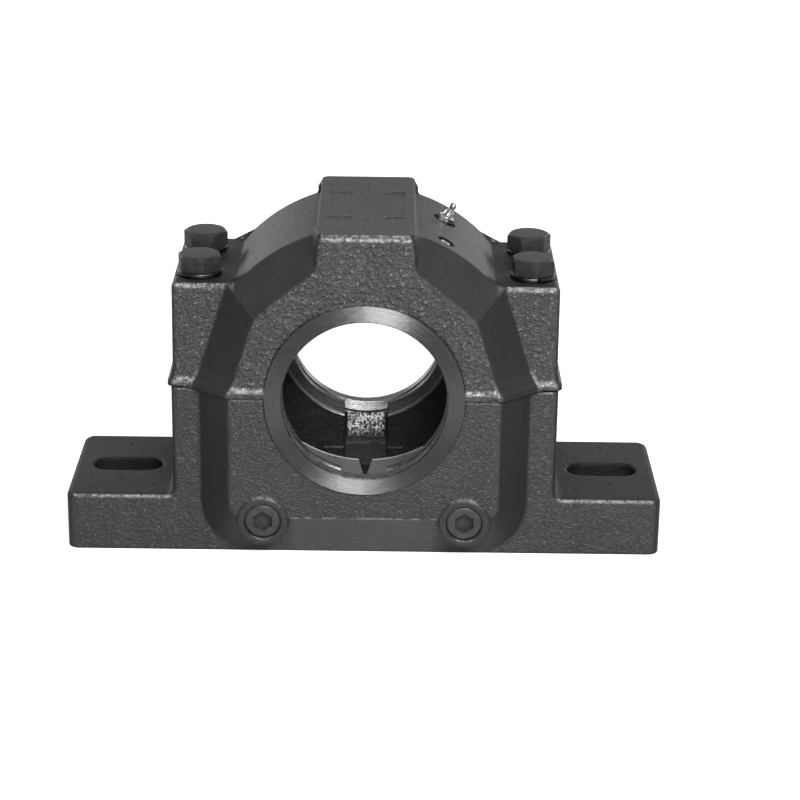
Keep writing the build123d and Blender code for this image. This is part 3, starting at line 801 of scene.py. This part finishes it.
@dataclass(frozen=True)
class CastingFinish:
    """Dark grey paint over cast skin, with the bores and faces machined bright.

    The painted faces differ in roughness, and their levels by facing are lit and shaded copies of
    one paint: end faces are the roughest and lightest, with painted glints on their pebbles,
    slanted faces are the smoothest and darkest with painted shade, tops get painted light and
    shade of their own, the keel painted light and the foot and lug tops painted shade, and the
    inside is darker still. Rounded edges, the chute and the edges of seat and flare get painted
    highlights, and the lips and inner faces of the bore a painted reflection in their metal. The
    values by zone lie over each other in their order.
    """

    name: str
    front_depth: float
    front_grains: float
    front_level: float = 0.054
    # Keel: painted light from the floor on the lower middle of the end faces.
    keel_level: float = 0.068
    boss_level: float = 0.032
    # Slanted faces: painted shade, lifting from the oblique level toward the shoulder level as they face up.
    oblique_level: float = 0.012
    shoulder_level: float = 0.026
    shoulder_up: float = 0.5
    bore_level: float = 0.12
    # Painted highlight on rounded edges that look up and out, broken up by a noise pattern like wear.
    edge_level: float = 0.28
    # Painted highlights in flecks on the chute's floor.
    chute_glint_level: float = 1.0
    # Painted glints on the pebble tops of the end faces, and doubled on rounded edges.
    glint_level: float = 0.11
    inside_fleck_level: float = 0.05
    # Top is painted light and shade of its own on what faces up; Low is painted shade on the foot and lug
    # tops.
    paint_levels: dict[str, float] = by_zone(Top=0.042, Low=0.017, Inside=0.019, Seat=0.19, Flare=0.055)
    # Lip and Inner Face: brighter copies of the ring's steel, painted reflection and light on the bore's
    # turned faces.
    metal_levels: dict[str, float] = by_zone(Lip=0.28, Ring=0.091, Inner_Face=0.18, Joint=0.36)
    # Flare Edge and Seat Edge lines are painted highlights.
    line_levels: dict[str, float] = by_zone(Flare_Edge=0.12, Seat_Edge=0.5, Seam=0.10)
    # The second shade darkens round the nipple and the port plug as grime and painted shade; the first is the
    # shadow line round the ring.
    shades: dict[str, float] = by_zone(Crease=0.6, Grime=0.9)
    dust_level: float = 0.06
    edge_glints: float = 2.0
    pit_shade: float = 0.15
    mottle_share: float = 0.5
    even_share: float = 0.5
    paint_blue: float = 1.02
    metal_blue: float = 0.99
    chute_depth: float = 0.0009
    plain_depth: float = 0.00042
    plain_grains: float = 560.0
    oblique_flatness: float = 0.75
    corner_radius: float = 0.004
    turned_pitch: float = 0.0003
    turned_lean: float = 0.53
    turned_gloss: float = 0.28
    turned_gloss_spread: float = 0.04
    front_gloss: float = 0.29
    glosses: dict[str, float] = by_zone(Oblique=0.52, Top=0.50, Low=0.62, Inside=0.50, Edge=0.27, Grime=0.8)
    mottle_gloss: Pair = (-0.06, 0.08)
    dust_gloss: float = 0.3
    dust_amount: float = 0.12
    inside_metal: float = 0.6
    chute_metal: float = 0.1
    specular: float = 0.26
    middle: Pair = (0.3, 0.7)
    streaks: Pair = (0.85, 1.15)
    inside_fleck_edge: Pair = (0.5, 0.05)
    drift: Pattern = Pattern(21.0, 4.0, 0.6)
    mottle: Pattern = Pattern(240.0, 3.0, 0.6)
    # Breaks up the painted highlight on rounded edges, partly like wear.
    wear_and_sheen: Pattern = Pattern(260.0, 3.0, 0.6, 0.38, 0.62, 0.35, 1.5)
    chute_grain: Pattern = Pattern(440.0, 3.0, 0.65, 0.45, 0.57, 0.05, 1.0)
    chute_patch: Pattern = Pattern(110.0, 1.0, 0.5, 0.40, 0.56, 0.7, 1.0)
    speckle: Pattern = Pattern(1000.0, 2.0, 0.6, 0.35, 0.65, 0.8, 1.2)

    @staticmethod
    def over(zones: bpy.types.NodeOutputs, values: dict[str, float]) -> list[tuple[Socket, float]]:
        """Pairs of each zone's mask and its value."""
        return [(zones[name], value) for name, value in values.items()]

    def material(self, effects: SharedEffects) -> bpy.types.Material:
        """Builds the material.

        Args:
            effects: The shared node groups.
        Returns:
            The material.
        """
        material, bench, shader = new_material(self.name)
        product, total, either, inverse = bench.product, bench.total, bench.either, bench.inverse
        coordinates = bench.add("ShaderNodeTexCoord").outputs
        where, facing = coordinates["Object"], coordinates["Normal"]
        corner = bench.add("ShaderNodeBevel", {"Radius": self.corner_radius}, samples=4).outputs["Normal"]
        zones = bench.place(effects.zones, Position=where, Normal=facing, Soft_Normal=corner)
        rough = bench.place(effects.cast_skin, Position=where, Grains=self.front_grains)
        plain = bench.place(effects.cast_skin, Position=where, Grains=self.plain_grains)
        marks = bench.place(
            effects.turning, Position=where, Normal=facing, Pitch=self.turned_pitch, Lean=self.turned_lean
        )
        dust = bench.place(effects.dust, Position=where, Normal=facing, Amount=self.dust_amount)["Mask"]

        bare = either(zones["Ring"], zones["Bore"], zones["Joint"])
        turned = either(bare, zones["Seat"])
        drift, mottle = self.drift.noise(bench, where), self.mottle.noise(bench, where)
        chute_glints = product(self.chute_grain.lay(bench, where), self.chute_patch.lay(bench, where))
        slants = (0.0, self.shoulder_up, self.oblique_level, self.shoulder_level)
        level = bench.layers(
            self.front_level,
            # Keel: painted light.
            (zones["Keel"], self.keel_level),
            (zones["Boss"], self.boss_level),
            # Slanted faces: painted shade, lighter where they face up.
            (zones["Oblique"], bench.stretch(bench.parts(facing)[2], *slants)),
            # Tops: painted light and shade; foot and lug tops painted shade.
            *self.over(zones, self.paint_levels),
            # Rounded edges: painted highlight, broken up like wear.
            (zones["Edge"], product(self.wear_and_sheen.lay(bench, where), self.edge_level)),
            # Chute: painted highlights in flecks.
            (zones["Chute"], product(chute_glints, self.chute_glint_level)),
        )
        even = total(product(drift, self.mottle_share), product(mottle, self.mottle_share), self.even_share)
        level = product(level, even, inverse(product(rough["Pit"], zones["Front"], self.pit_shade)))
        for zone, shade in self.over(zones, self.shades):
            level = product(level, inverse(product(zone, shade)))
        # Painted glints on end faces and rounded edges.
        glint_zone = total(zones["Front"], product(zones["Edge"], self.edge_glints))
        # Lighter specks on the inside, only where the slow drift noise is high.
        speck_patches = bench.beyond(drift, *self.inside_fleck_edge)
        level = total(
            level,
            product(dust, self.dust_level),
            product(rough["Fleck"], glint_zone, self.glint_level),
            product(plain["Fleck"], zones["Inside"], speck_patches, self.inside_fleck_level),
            # Lines, the flare and seat edges among them as painted highlights.
            total(*(product(zone, line) for zone, line in self.over(zones, self.line_levels))),
        )
        paint = bench.join(level, level, product(level, self.paint_blue))
        # Bore lips and inner faces: painted reflection and light in the steel's level.
        bright = bench.layers(self.bore_level, *self.over(zones, self.metal_levels))
        streaks = bench.stretch(marks["Streak"], *self.middle, *self.streaks)
        bright = product(bright, self.speckle.lay(bench, where), streaks)
        metal = bench.join(bright, bright, product(bright, self.metal_blue))
        inner_walls = bench.mix(Mixing.VALUES, zones["Chute"], self.inside_metal, self.chute_metal)

        gloss = bench.layers(self.front_gloss, *self.over(zones, self.glosses))
        mottled = bench.stretch(mottle, *self.middle, *self.mottle_gloss)
        gloss = total(gloss, mottled, product(dust, self.dust_gloss))
        spread = self.turned_gloss_spread
        glosses = (self.turned_gloss - spread, self.turned_gloss + spread)
        metal_gloss = bench.stretch(marks["Streak"], *self.middle, *glosses)

        skin = product(either(zones["Front"], zones["Edge"]), inverse(turned))
        strong = either(skin, product(zones["Chute"], self.chute_depth / self.front_depth))
        smooth = either(product(zones["Oblique"], self.oblique_flatness), turned)
        weak = bench.without(1.0, strong, smooth)
        relief = bench.bump(product(rough["Height"], strong), self.front_depth, corner)
        relief = bench.bump(product(plain["Height"], weak), self.plain_depth, relief)
        normal = bench.mix(Mixing.NORMALS, turned, relief, marks["Normal"])

        bench.fill(shader, {
            "Base Color": bench.mix(Mixing.COLOURS, bare, paint, metal),
            "Metallic": either(bare, product(zones["Inside"], inner_walls)),
            "Roughness": bench.mix(Mixing.VALUES, bare, gloss, metal_gloss),
            "Specular IOR Level": self.specular,
            "Normal": bench.vector("NORMALIZE", normal),
        })
        return material


@dataclass(frozen=True)
class SteelFinish:
    """Plain steel of one colour with a fine grain: painted, oiled, plated or ground."""

    name: str
    level: float
    metallic: float
    roughness: float
    grain_depth: float = 0.00003
    grains: float = 900.0
    spread: float = 0.3
    specular: float = 0.25
    mottle: Pattern = Pattern(160.0, 4.0, 0.6)
    dust_amount: float = 0.15
    dust_level: float = 0.2
    dust_gloss: float = 0.3
    middle: Pair = (0.3, 0.7)
    duller: float = 0.08
    glossier: float = 0.06

    def material(self, effects: SharedEffects) -> bpy.types.Material:
        """Builds the material.

        Args:
            effects: The shared node groups.
        Returns:
            The material.
        """
        material, bench, shader = new_material(self.name)
        coordinates = bench.add("ShaderNodeTexCoord").outputs
        where, facing = coordinates["Object"], coordinates["Normal"]
        skin = bench.place(effects.cast_skin, Position=where, Grains=self.grains)
        dust = bench.place(effects.dust, Position=where, Normal=facing, Amount=self.dust_amount)["Mask"]
        mottle = self.mottle.noise(bench, where)
        low, high = grey(self.level * (1.0 - self.spread)), grey(self.level * (1.0 + self.spread))
        body = bench.mix(Mixing.COLOURS, bench.stretch(mottle, *self.middle), low, high)
        glosses = (self.roughness - self.glossier, self.roughness + self.duller)
        gloss = bench.stretch(mottle, *self.middle, *glosses)
        bench.fill(shader, {
            "Base Color": bench.mix(Mixing.COLOURS, dust, body, grey(self.dust_level)),
            "Metallic": self.metallic,
            "Roughness": bench.total(gloss, bench.product(dust, self.dust_gloss)),
            "Specular IOR Level": self.specular,
            "Normal": bench.bump(skin["Height"], self.grain_depth),
        })
        return material


class RepeatBench(NodeBench):
    """Bench for a geometry tree that puts one copy of a shape on each point."""

    def __init__(self, name: str, inputs: dict[str, str]) -> None:
        """Starts the tree.

        Args:
            name: The tree's name.
            inputs: Names and socket types of its inputs besides the points and the finish.
        """
        super().__init__(bpy.data.node_groups.new(name, "GeometryNodeTree"))
        labels = sockets("Geometry", "Points") | inputs | sockets("Material", "Finish")
        for label, kind in labels.items():
            self.tree.interface.new_socket(name=label, in_out="INPUT", socket_type=kind)
        self.tree.interface.new_socket(name="Geometry", in_out="OUTPUT", socket_type="NodeSocketGeometry")
        start = self.add("NodeGroupInput")
        self.given = {label: start.outputs[label] for label in labels}

    def step(self, kind: str, output: str, inputs: dict, **settings: object) -> Socket:
        """Adds one node.

        Args:
            kind: Blender's type name of the node, without its start.
            output: Name of the output wanted.
            inputs: What its inputs get, by name.
            **settings: Attributes of the node to set.
        Returns:
            The output socket.
        """
        return self.add("GeometryNode" + kind, inputs, **settings).outputs[output]

    def repeat(self, shape: Socket) -> None:
        """Ends the tree: one copy of the shape on each point, turned by the point's "turn".

        Args:
            shape: The shape that is repeated.
        """
        turn = self.step("InputNamedAttribute", "Attribute", {"Name": "turn"}, data_type="FLOAT")
        rotation = self.join(0.0, 0.0, turn)
        inputs = {"Points": self.given["Points"], "Instance": shape, "Rotation": rotation}
        copies = self.step("InstanceOnPoints", "Instances", inputs)
        real = self.step("RealizeInstances", "Geometry", {"Geometry": copies})
        inputs = {"Geometry": real, "Material": self.given["Finish"]}
        self.add("NodeGroupOutput", {"Geometry": self.step("SetMaterial", "Geometry", inputs)})


def grow(piece: Piece, tree: bpy.types.NodeTree, values: dict[str, object]) -> None:
    """Runs a geometry tree on a piece and keeps the result as its plain mesh.

    Args:
        piece: The piece, whose mesh is the tree's points.
        tree: The tree.
        values: Its inputs by name.
    """
    modifier = piece.modifiers.new(tree.name, "NODES")
    modifier.node_group = tree
    for socket in tree.interface.items_tree:
        if socket.in_out == "INPUT" and socket.name in values:
            modifier[socket.identifier] = values[socket.name]
    graph = bpy.context.evaluated_depsgraph_get()
    evaluated = piece.evaluated_get(graph)
    finished = bpy.data.meshes.new_from_object(evaluated, preserve_all_data_layers=True, depsgraph=graph)
    piece.modifiers.clear()
    piece.data = finished
    piece.data.materials.clear()
    piece.data.polygons.foreach_set("material_index", [0] * len(piece.data.polygons))
    dress(piece, values["Finish"])


def turned_points(name: str, turns: dict[str, float], height: float) -> Piece:
    """Makes a piece with one point on each bolt axis.

    Args:
        name: The piece's name.
        turns: Angle in degrees at each corner of the cap.
        height: Height of the points.
    Returns:
        The piece, whose points carry their turn in radians.
    """
    mesh = bpy.data.meshes.new(name)
    sides = {"left": -1.0, "right": 1.0, "front": -1.0, "back": 1.0}
    places = []
    for corner in turns:
        end, side = corner.split("_")
        places.append((sides[side] * GAUGE.bolt_x, sides[end] * GAUGE.bolt_y, height))
    mesh.from_pydata(places, [], [])
    turn = mesh.attributes.new("turn", "FLOAT", "POINT")
    turn.data.foreach_set("value", [math.radians(angle) for angle in turns.values()])
    return add_piece(name, mesh)


def settle(piece: Piece, slot: Slot, nodes: Sequence[str], sharp: float = 30.0) -> None:
    """Shades a finished piece, makes it ride and lets it stand for its nodes.

    Args:
        piece: The piece.
        slot: Material slot of the record; not used.
        nodes: Nodes of the solid model that it replaces.
        sharp: Angle in degrees above which an edge stays sharp.
    """
    piece.data.shade_smooth()
    piece.data.set_sharp_from_angle(angle=math.radians(sharp))
    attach(piece, "root")
    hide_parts(*nodes)
    log.info("%s: %d faces", piece.name, len(piece.data.polygons))


def dress(piece: Piece, material: bpy.types.Material) -> None:
    """Puts one material on every slot of a piece."""
    if not piece.material_slots:
        piece.data.materials.append(material)
    for place in piece.material_slots:
        place.material = material


def add_piece(name: str, data: bpy.types.ID) -> Piece:
    """Puts a mesh, a lamp or a camera into the scene as an object at the origin.

    Args:
        name: The object's name.
        data: What it shows.
    Returns:
        The object.
    """
    piece = bpy.data.objects.new(name, data)
    bpy.context.scene.collection.objects.link(piece)
    return piece


@dataclass
class Castings:
    """The two castings, which keep their solid shapes."""

    # The base's keel level carries painted light from the floor.
    base_finish: CastingFinish = CastingFinish(
        "base paint on cast iron", 0.00090, 380.0, front_level=0.038, keel_level=0.070, glint_level=0.05
    )
    cap_finish: CastingFinish = CastingFinish("cap paint on cast iron", 0.00240, 260.0)

    def dress(self, nodes: dict[str, Piece], effects: SharedEffects) -> None:
        """Puts the paint on both castings.

        Args:
            nodes: The solid model's objects by name.
            effects: The shared node groups.
        """
        dress(nodes["housing_base"], self.base_finish.material(effects))
        dress(nodes["housing_cap"], self.cap_finish.material(effects))
        log.info("castings dressed")


@dataclass
class SpringWashers:
    """The four spring washers: square bar bent round, with a slanted split."""

    outer_radius: float = 0.0202
    hole_radius: float = 0.0123
    height: float = GAUGE.washer_height
    edge_round: float = 0.0012
    edge_steps: int = 3
    steps: int = 96
    split: float = 0.002
    slant: float = 25.0
    splits: dict[str, float] = field(
        default_factory=lambda: dict(front_left=150.0, front_right=-78.0, back_left=95.0, back_right=60.0)
    )
    finish: SteelFinish = SteelFinish("spring washer steel", 0.075, 1.0, 0.36)

    def tree(self) -> bpy.types.NodeTree:
        """Builds the tree that bends the bar and puts one washer on each point.

        Returns:
            The tree.
        """
        names = ("Mean Radius", "Bar Width", "Bar Height", "Edge Round", "Split", "Slant")
        bench = RepeatBench("Spring Washers", sockets("Float", *names))
        mean, width, height, edge_round, split, slant = (bench.given[name] for name in names)
        half_split = bench.math("DIVIDE", bench.product(split, 0.5), mean)
        sweep = bench.math("SUBTRACT", math.tau, bench.product(half_split, 2.0))
        inputs = {"Resolution": self.steps, "Radius": mean, "Start Angle": half_split, "Sweep Angle": sweep}
        arc = bench.step("CurveArc", "Curve", inputs, mode="RADIUS")
        bar = bench.step("CurvePrimitiveQuadrilateral", "Curve", {"Width": width, "Height": height})
        inputs = {"Curve": bar, "Count": self.edge_steps, "Radius": edge_round}
        rounded = bench.step("FilletCurve", "Curve", inputs, mode="POLY")
        inputs = {"Curve": arc, "Profile Curve": rounded, "Fill Caps": True}
        bent = bench.step("CurveToMesh", "Mesh", inputs)
        place = bench.step("InputPosition", "Position", {})
        turn = bench.math("DIVIDE", bench.math("TANGENT", slant), mean)
        inputs = {"Vector": place, "Angle": bench.product(turn, bench.parts(place)[2])}
        slanted = bench.add("ShaderNodeVectorRotate", inputs, rotation_type="Z_AXIS").outputs["Vector"]
        bench.repeat(bench.step("SetPosition", "Geometry", {"Geometry": bent, "Position": slanted}))
        return bench.tree

    def build(self, effects: SharedEffects) -> None:
        """Makes the washers, which replace the plain ones.

        Args:
            effects: The shared node groups.
        """
        piece = turned_points("spring_washers", self.splits, GAUGE.bolt_seat + self.height / 2)
        grow(piece, self.tree(), {
            "Mean Radius": (self.outer_radius + self.hole_radius) / 2,
            "Bar Width": self.outer_radius - self.hole_radius,
            "Bar Height": self.height,
            "Edge Round": self.edge_round,
            "Split": self.split,
            "Slant": math.radians(self.slant),
            "Finish": self.finish.material(effects),
        })
        settle(piece, Slot.BOLT, ["spring_washer_" + corner for corner in self.splits])


@dataclass
class CapBolts:
    """The four hexagon-head cap bolts, with chamfered heads and rolled threads."""

    across_flats: float = 0.036
    head_height: float = 0.015
    land_share: float = 0.94
    chamfer: float = 30.0
    shank_radius: float = 0.012
    core_radius: float = 0.0103
    length: float = 0.140
    plain_length: float = 0.080
    end_chamfer: float = 0.0018
    thread_pitch: float = 0.003
    thread_turns: float = 18.5
    thread_steps: int = 36
    ridge: float = 0.0013
    ridge_lift: float = 0.3
    edge_bevel: float = 0.0004
    bevelled_above: float = 25.0
    steps: int = 72
    turns: dict[str, float] = field(
        default_factory=lambda: dict(front_left=12.0, front_right=4.0, back_left=24.0, back_right=38.0)
    )
    finish: SteelFinish = SteelFinish("dark bolt steel", 0.027, 0.0, 0.46, specular=0.18)

    def head_radius(self, angle: float) -> float:
        """Distance from the axis to the hexagon at an angle."""
        sixth = math.tau / 6
        return self.across_flats / 2 / math.cos((angle + sixth / 2) % sixth - sixth / 2)

    def blank(self) -> Piece:
        """Makes one bolt without its thread, seated at Z = 0 and pointing down.

        Returns:
            The piece, with a live bevel on its edges.
        """
        land = self.land_share * self.across_flats / 2
        slope = math.tan(math.radians(self.chamfer))
        angles = [math.tau * step / self.steps for step in range(self.steps)]
        hexagon = [self.head_radius(angle) for angle in angles]
        rings = [[(land, self.head_height)] * self.steps]
        rings.append([(r, self.head_height - (r - land) * slope) for r in hexagon])
        rings.append([(r, 0.0) for r in hexagon])
        outline = (
            (self.shank_radius, 0.0),
            (self.shank_radius, -self.plain_length),
            (self.core_radius, -self.plain_length - self.shank_radius + self.core_radius),
            (self.core_radius, self.end_chamfer - self.length),
            (self.core_radius - self.end_chamfer, -self.length),
        )
        rings += [[point] * self.steps for point in outline]
        mesh = bmesh.new()
        loops = [
            [mesh.verts.new((r * math.cos(a), r * math.sin(a), z)) for a, (r, z) in zip(angles, ring)]
            for ring in rings
        ]
        for upper, lower in zip(loops, loops[1:]):
            for step in range(self.steps):
                after = (step + 1) % self.steps
                mesh.faces.new((upper[step], lower[step], lower[after], upper[after]))
        mesh.faces.new(loops[0])
        mesh.faces.new(list(reversed(loops[-1])))
        data = bpy.data.meshes.new("bolt blank")
        mesh.to_mesh(data)
        mesh.free()
        piece = add_piece("bolt_blank", data)
        bevel = piece.modifiers.new("edges", "BEVEL")
        bevel.width, bevel.segments = self.edge_bevel, 2
        bevel.limit_method, bevel.angle_limit = "ANGLE", math.radians(self.bevelled_above)
        return piece

    def tree(self) -> bpy.types.NodeTree:
        """Builds the tree that rolls the thread and puts one bolt on each point.

        Returns:
            The tree.
        """
        floats = ("Core Radius", "Pitch", "Turns", "Ridge", "Start")
        bench = RepeatBench("Cap Bolts", sockets("Object", "Blank") | sockets("Float", *floats))
        core, pitch, turns, ridge, start = (bench.given[name] for name in floats)
        blank = {"Object": bench.given["Blank"]}
        blank = bench.step("ObjectInfo", "Geometry", blank, transform_space="ORIGINAL")
        middle = bench.total(core, bench.product(ridge, self.ridge_lift))
        helix = bench.step("CurveSpiral", "Curve", {
            "Resolution": self.thread_steps,
            "Rotations": turns,
            "Start Radius": middle,
            "End Radius": middle,
            "Height": bench.product(pitch, turns),
        })
        helix = bench.step("SetCurveNormal", "Curve", {"Curve": helix}, mode="Z_UP")
        inputs = {"Resolution": 3, "Radius": ridge}
        profile = bench.step("CurvePrimitiveCircle", "Curve", inputs, mode="RADIUS")
        inputs = {"Geometry": profile, "Rotation": (0.0, 0.0, math.pi)}
        profile = bench.step("Transform", "Geometry", inputs)
        inputs = {"Curve": helix, "Profile Curve": profile, "Fill Caps": True}
        thread = bench.step("CurveToMesh", "Mesh", inputs)
        inputs = {"Geometry": thread, "Translation": bench.join(0.0, 0.0, start)}
        thread = bench.step("Transform", "Geometry", inputs)
        whole = bench.add("GeometryNodeJoinGeometry", {"Geometry": thread})
        bench.feed(whole.inputs["Geometry"], blank)
        bench.repeat(whole.outputs["Geometry"])
        return bench.tree

    def build(self, effects: SharedEffects) -> None:
        """Makes the bolts, which replace the plain ones.

        Args:
            effects: The shared node groups.
        """
        blank = self.blank()
        piece = turned_points("cap_bolts", self.turns, GAUGE.bolt_seat + GAUGE.washer_height)
        grow(piece, self.tree(), {
            "Blank": blank,
            "Core Radius": self.core_radius,
            "Pitch": self.thread_pitch,
            "Turns": self.thread_turns,
            "Ridge": self.ridge,
            "Start": self.end_chamfer - self.length,
            "Finish": self.finish.material(effects),
        })
        bpy.data.objects.remove(blank)
        settle(piece, Slot.BOLT, ["cap_bolt_" + corner for corner in self.turns])


@dataclass
class Fittings:
    """Fasteners and fittings that keep their solid shapes."""

    plug_finish: SteelFinish = SteelFinish("painted plug", 0.045, 0.0, 0.36)
    pin_finish: SteelFinish = SteelFinish("ground pin steel", 0.5, 1.0, 0.22, grain_depth=0.00001)
    plated_finish: SteelFinish = SteelFinish("bright plating", 0.85, 1.0, 0.2, grain_depth=0.00001)

    def dress(self, nodes: dict[str, Piece], effects: SharedEffects) -> None:
        """Puts a finish on each fitting by the start of its name.

        Args:
            nodes: The solid model's objects by name.
            effects: The shared node groups.
        """
        finishes = {
            "drain_plug": self.plug_finish,
            "dowel_pin": self.pin_finish,
            "grease_nipple": self.plated_finish,
            "port_plug": self.plated_finish,
        }
        for start, finish in finishes.items():
            material = finish.material(effects)
            for name, piece in nodes.items():
                if name.startswith(start):
                    dress(piece, material)
            log.info("%s dressed", start)


@dataclass(frozen=True)
class Lamp:
    """One soft box that looks at the middle of the housing; sizes in metres, power in watts."""

    name: str
    place: Triple
    size: Pair
    watts: float
    target: Triple = (0.0, 0.0, 0.15)

    def build(self) -> None:
        """Makes the lamp."""
        data = bpy.data.lights.new(self.name, "AREA")
        data.shape, data.energy = "RECTANGLE", self.watts
        data.size, data.size_y = self.size
        lamp = add_piece(self.name, data)
        lamp.visible_camera = False
        aim = Vector(self.target) - Vector(self.place)
        turn = aim.to_track_quat("-Z", "Y").to_matrix().to_4x4()
        lamp.matrix_world = Matrix.Translation(self.place) @ turn


@dataclass
class Studio:
    """Pale floor, soft lamps, white surroundings and the camera."""

    floor_half: float = 30.0
    lens: float = 105.96
    sensor: float = 36.0
    clip: Pair = (0.1, 200.0)
    position: Triple = (0.02006, -2.07749, 0.90131)
    yaw: float = 0.34
    pitch: float = 20.545
    roll: float = 0.838
    sky_level: float = 0.10
    mirrored_level: float = 0.18
    floor_level: float = 0.82
    floor_glow: float = 0.80
    lamps: tuple[Lamp, ...] = (
        Lamp("key box", (0.30, -1.25, 1.05), (0.7, 0.2), 22.0),
        Lamp("low strip", (0.0, -2.85, 1.40), (1.2, 0.16), 34.0),
        Lamp("back card", (0.0, 4.0, 2.0), (5.0, 3.0), 32.0),
        Lamp("left fill", (-1.9, 2.2, 1.1), (1.2, 0.8), 30.0),
        Lamp("right fill", (1.9, 2.2, 1.1), (1.2, 0.8), 30.0),
    )

    def camera(self) -> None:
        """Makes the camera at the photograph's viewing angle."""
        yaw, pitch, roll = (math.radians(angle) for angle in (self.yaw, self.pitch, self.roll))
        ahead = Vector((math.sin(yaw) * math.cos(pitch), math.cos(yaw) * math.cos(pitch), -math.sin(pitch)))
        level = Vector((math.cos(yaw), -math.sin(yaw), 0.0))
        down = ahead.cross(level)
        right = math.cos(roll) * level - math.sin(roll) * down
        down = math.sin(roll) * level + math.cos(roll) * down
        data = bpy.data.cameras.new("camera")
        data.lens, data.sensor_width = self.lens, self.sensor
        data.clip_start, data.clip_end = self.clip
        camera = add_piece("camera", data)
        turn = Matrix((right, -down, -ahead)).transposed().to_4x4()
        camera.matrix_world = Matrix.Translation(self.position) @ turn
        bpy.context.scene.camera = camera

    @staticmethod
    def glow(bench: NodeBench, hidden: float, mirrored: float, seen: float) -> Socket:
        """Brightness by how a surface is met.

        Args:
            bench: The bench for its tree.
            hidden: Brightness as light on other surfaces.
            mirrored: Brightness in reflections.
            seen: Brightness where it is looked at.
        Returns:
            The brightness socket.
        """
        rays = bench.add("ShaderNodeLightPath").outputs
        looked_at = bench.either(rays["Is Camera Ray"], rays["Is Transmission Ray"])
        return bench.layers(hidden, (rays["Is Glossy Ray"], mirrored), (looked_at, seen))

    def surroundings(self) -> None:
        """Makes the world: white where it is seen, dimmer as light."""
        world = bpy.data.worlds.new("surroundings")
        bpy.context.scene.world = world
        world.use_nodes = True
        world.node_tree.nodes.clear()
        bench = NodeBench(world.node_tree)
        strength = self.glow(bench, self.sky_level, self.mirrored_level, 1.0)
        back = bench.add("ShaderNodeBackground", {"Color": grey(1.0), "Strength": strength})
        bench.add("ShaderNodeOutputWorld", {"Surface": back.outputs[0]})

    def floor(self) -> None:
        """Makes the pale floor, which stays white where it is seen and keeps the shadow."""
        mesh = bpy.data.meshes.new("floor")
        half = self.floor_half
        corners = [(-half, -half, 0.0), (half, -half, 0.0), (half, half, 0.0), (-half, half, 0.0)]
        mesh.from_pydata(corners, [], [(0, 1, 2, 3)])
        floor = add_piece("floor", mesh)
        material = bpy.data.materials.new("pale floor")
        material.use_nodes = True
        material.node_tree.nodes.clear()
        bench = NodeBench(material.node_tree)
        strength = self.glow(bench, 0.0, self.floor_glow * self.mirrored_level, self.floor_glow)
        matt = bench.add("ShaderNodeBsdfDiffuse", {"Color": grey(self.floor_level)})
        light = bench.add("ShaderNodeEmission", {"Strength": strength})
        both = bench.add("ShaderNodeAddShader", {0: matt.outputs[0], 1: light.outputs[0]})
        bench.add("ShaderNodeOutputMaterial", {"Surface": both.outputs[0]})
        dress(floor, material)

    def build(self) -> None:
        """Makes the whole studio."""
        self.camera()
        self.surroundings()
        self.floor()
        for lamp in self.lamps:
            lamp.build()
        bpy.context.scene.view_settings.view_transform = "Standard"
        log.info("studio built")


def main() -> None:
    """Builds the pieces in order."""
    logging.basicConfig(level=logging.INFO, format="%(name)s: %(message)s")
    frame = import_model()
    nodes = frame["nodes"]
    effects = SharedEffects()
    Castings().dress(nodes, effects)
    Fittings().dress(nodes, effects)
    SpringWashers().build(effects)
    CapBolts().build(effects)
    Studio().build()
    log.info("all pieces built")


if __name__ == "__main__":
    main()
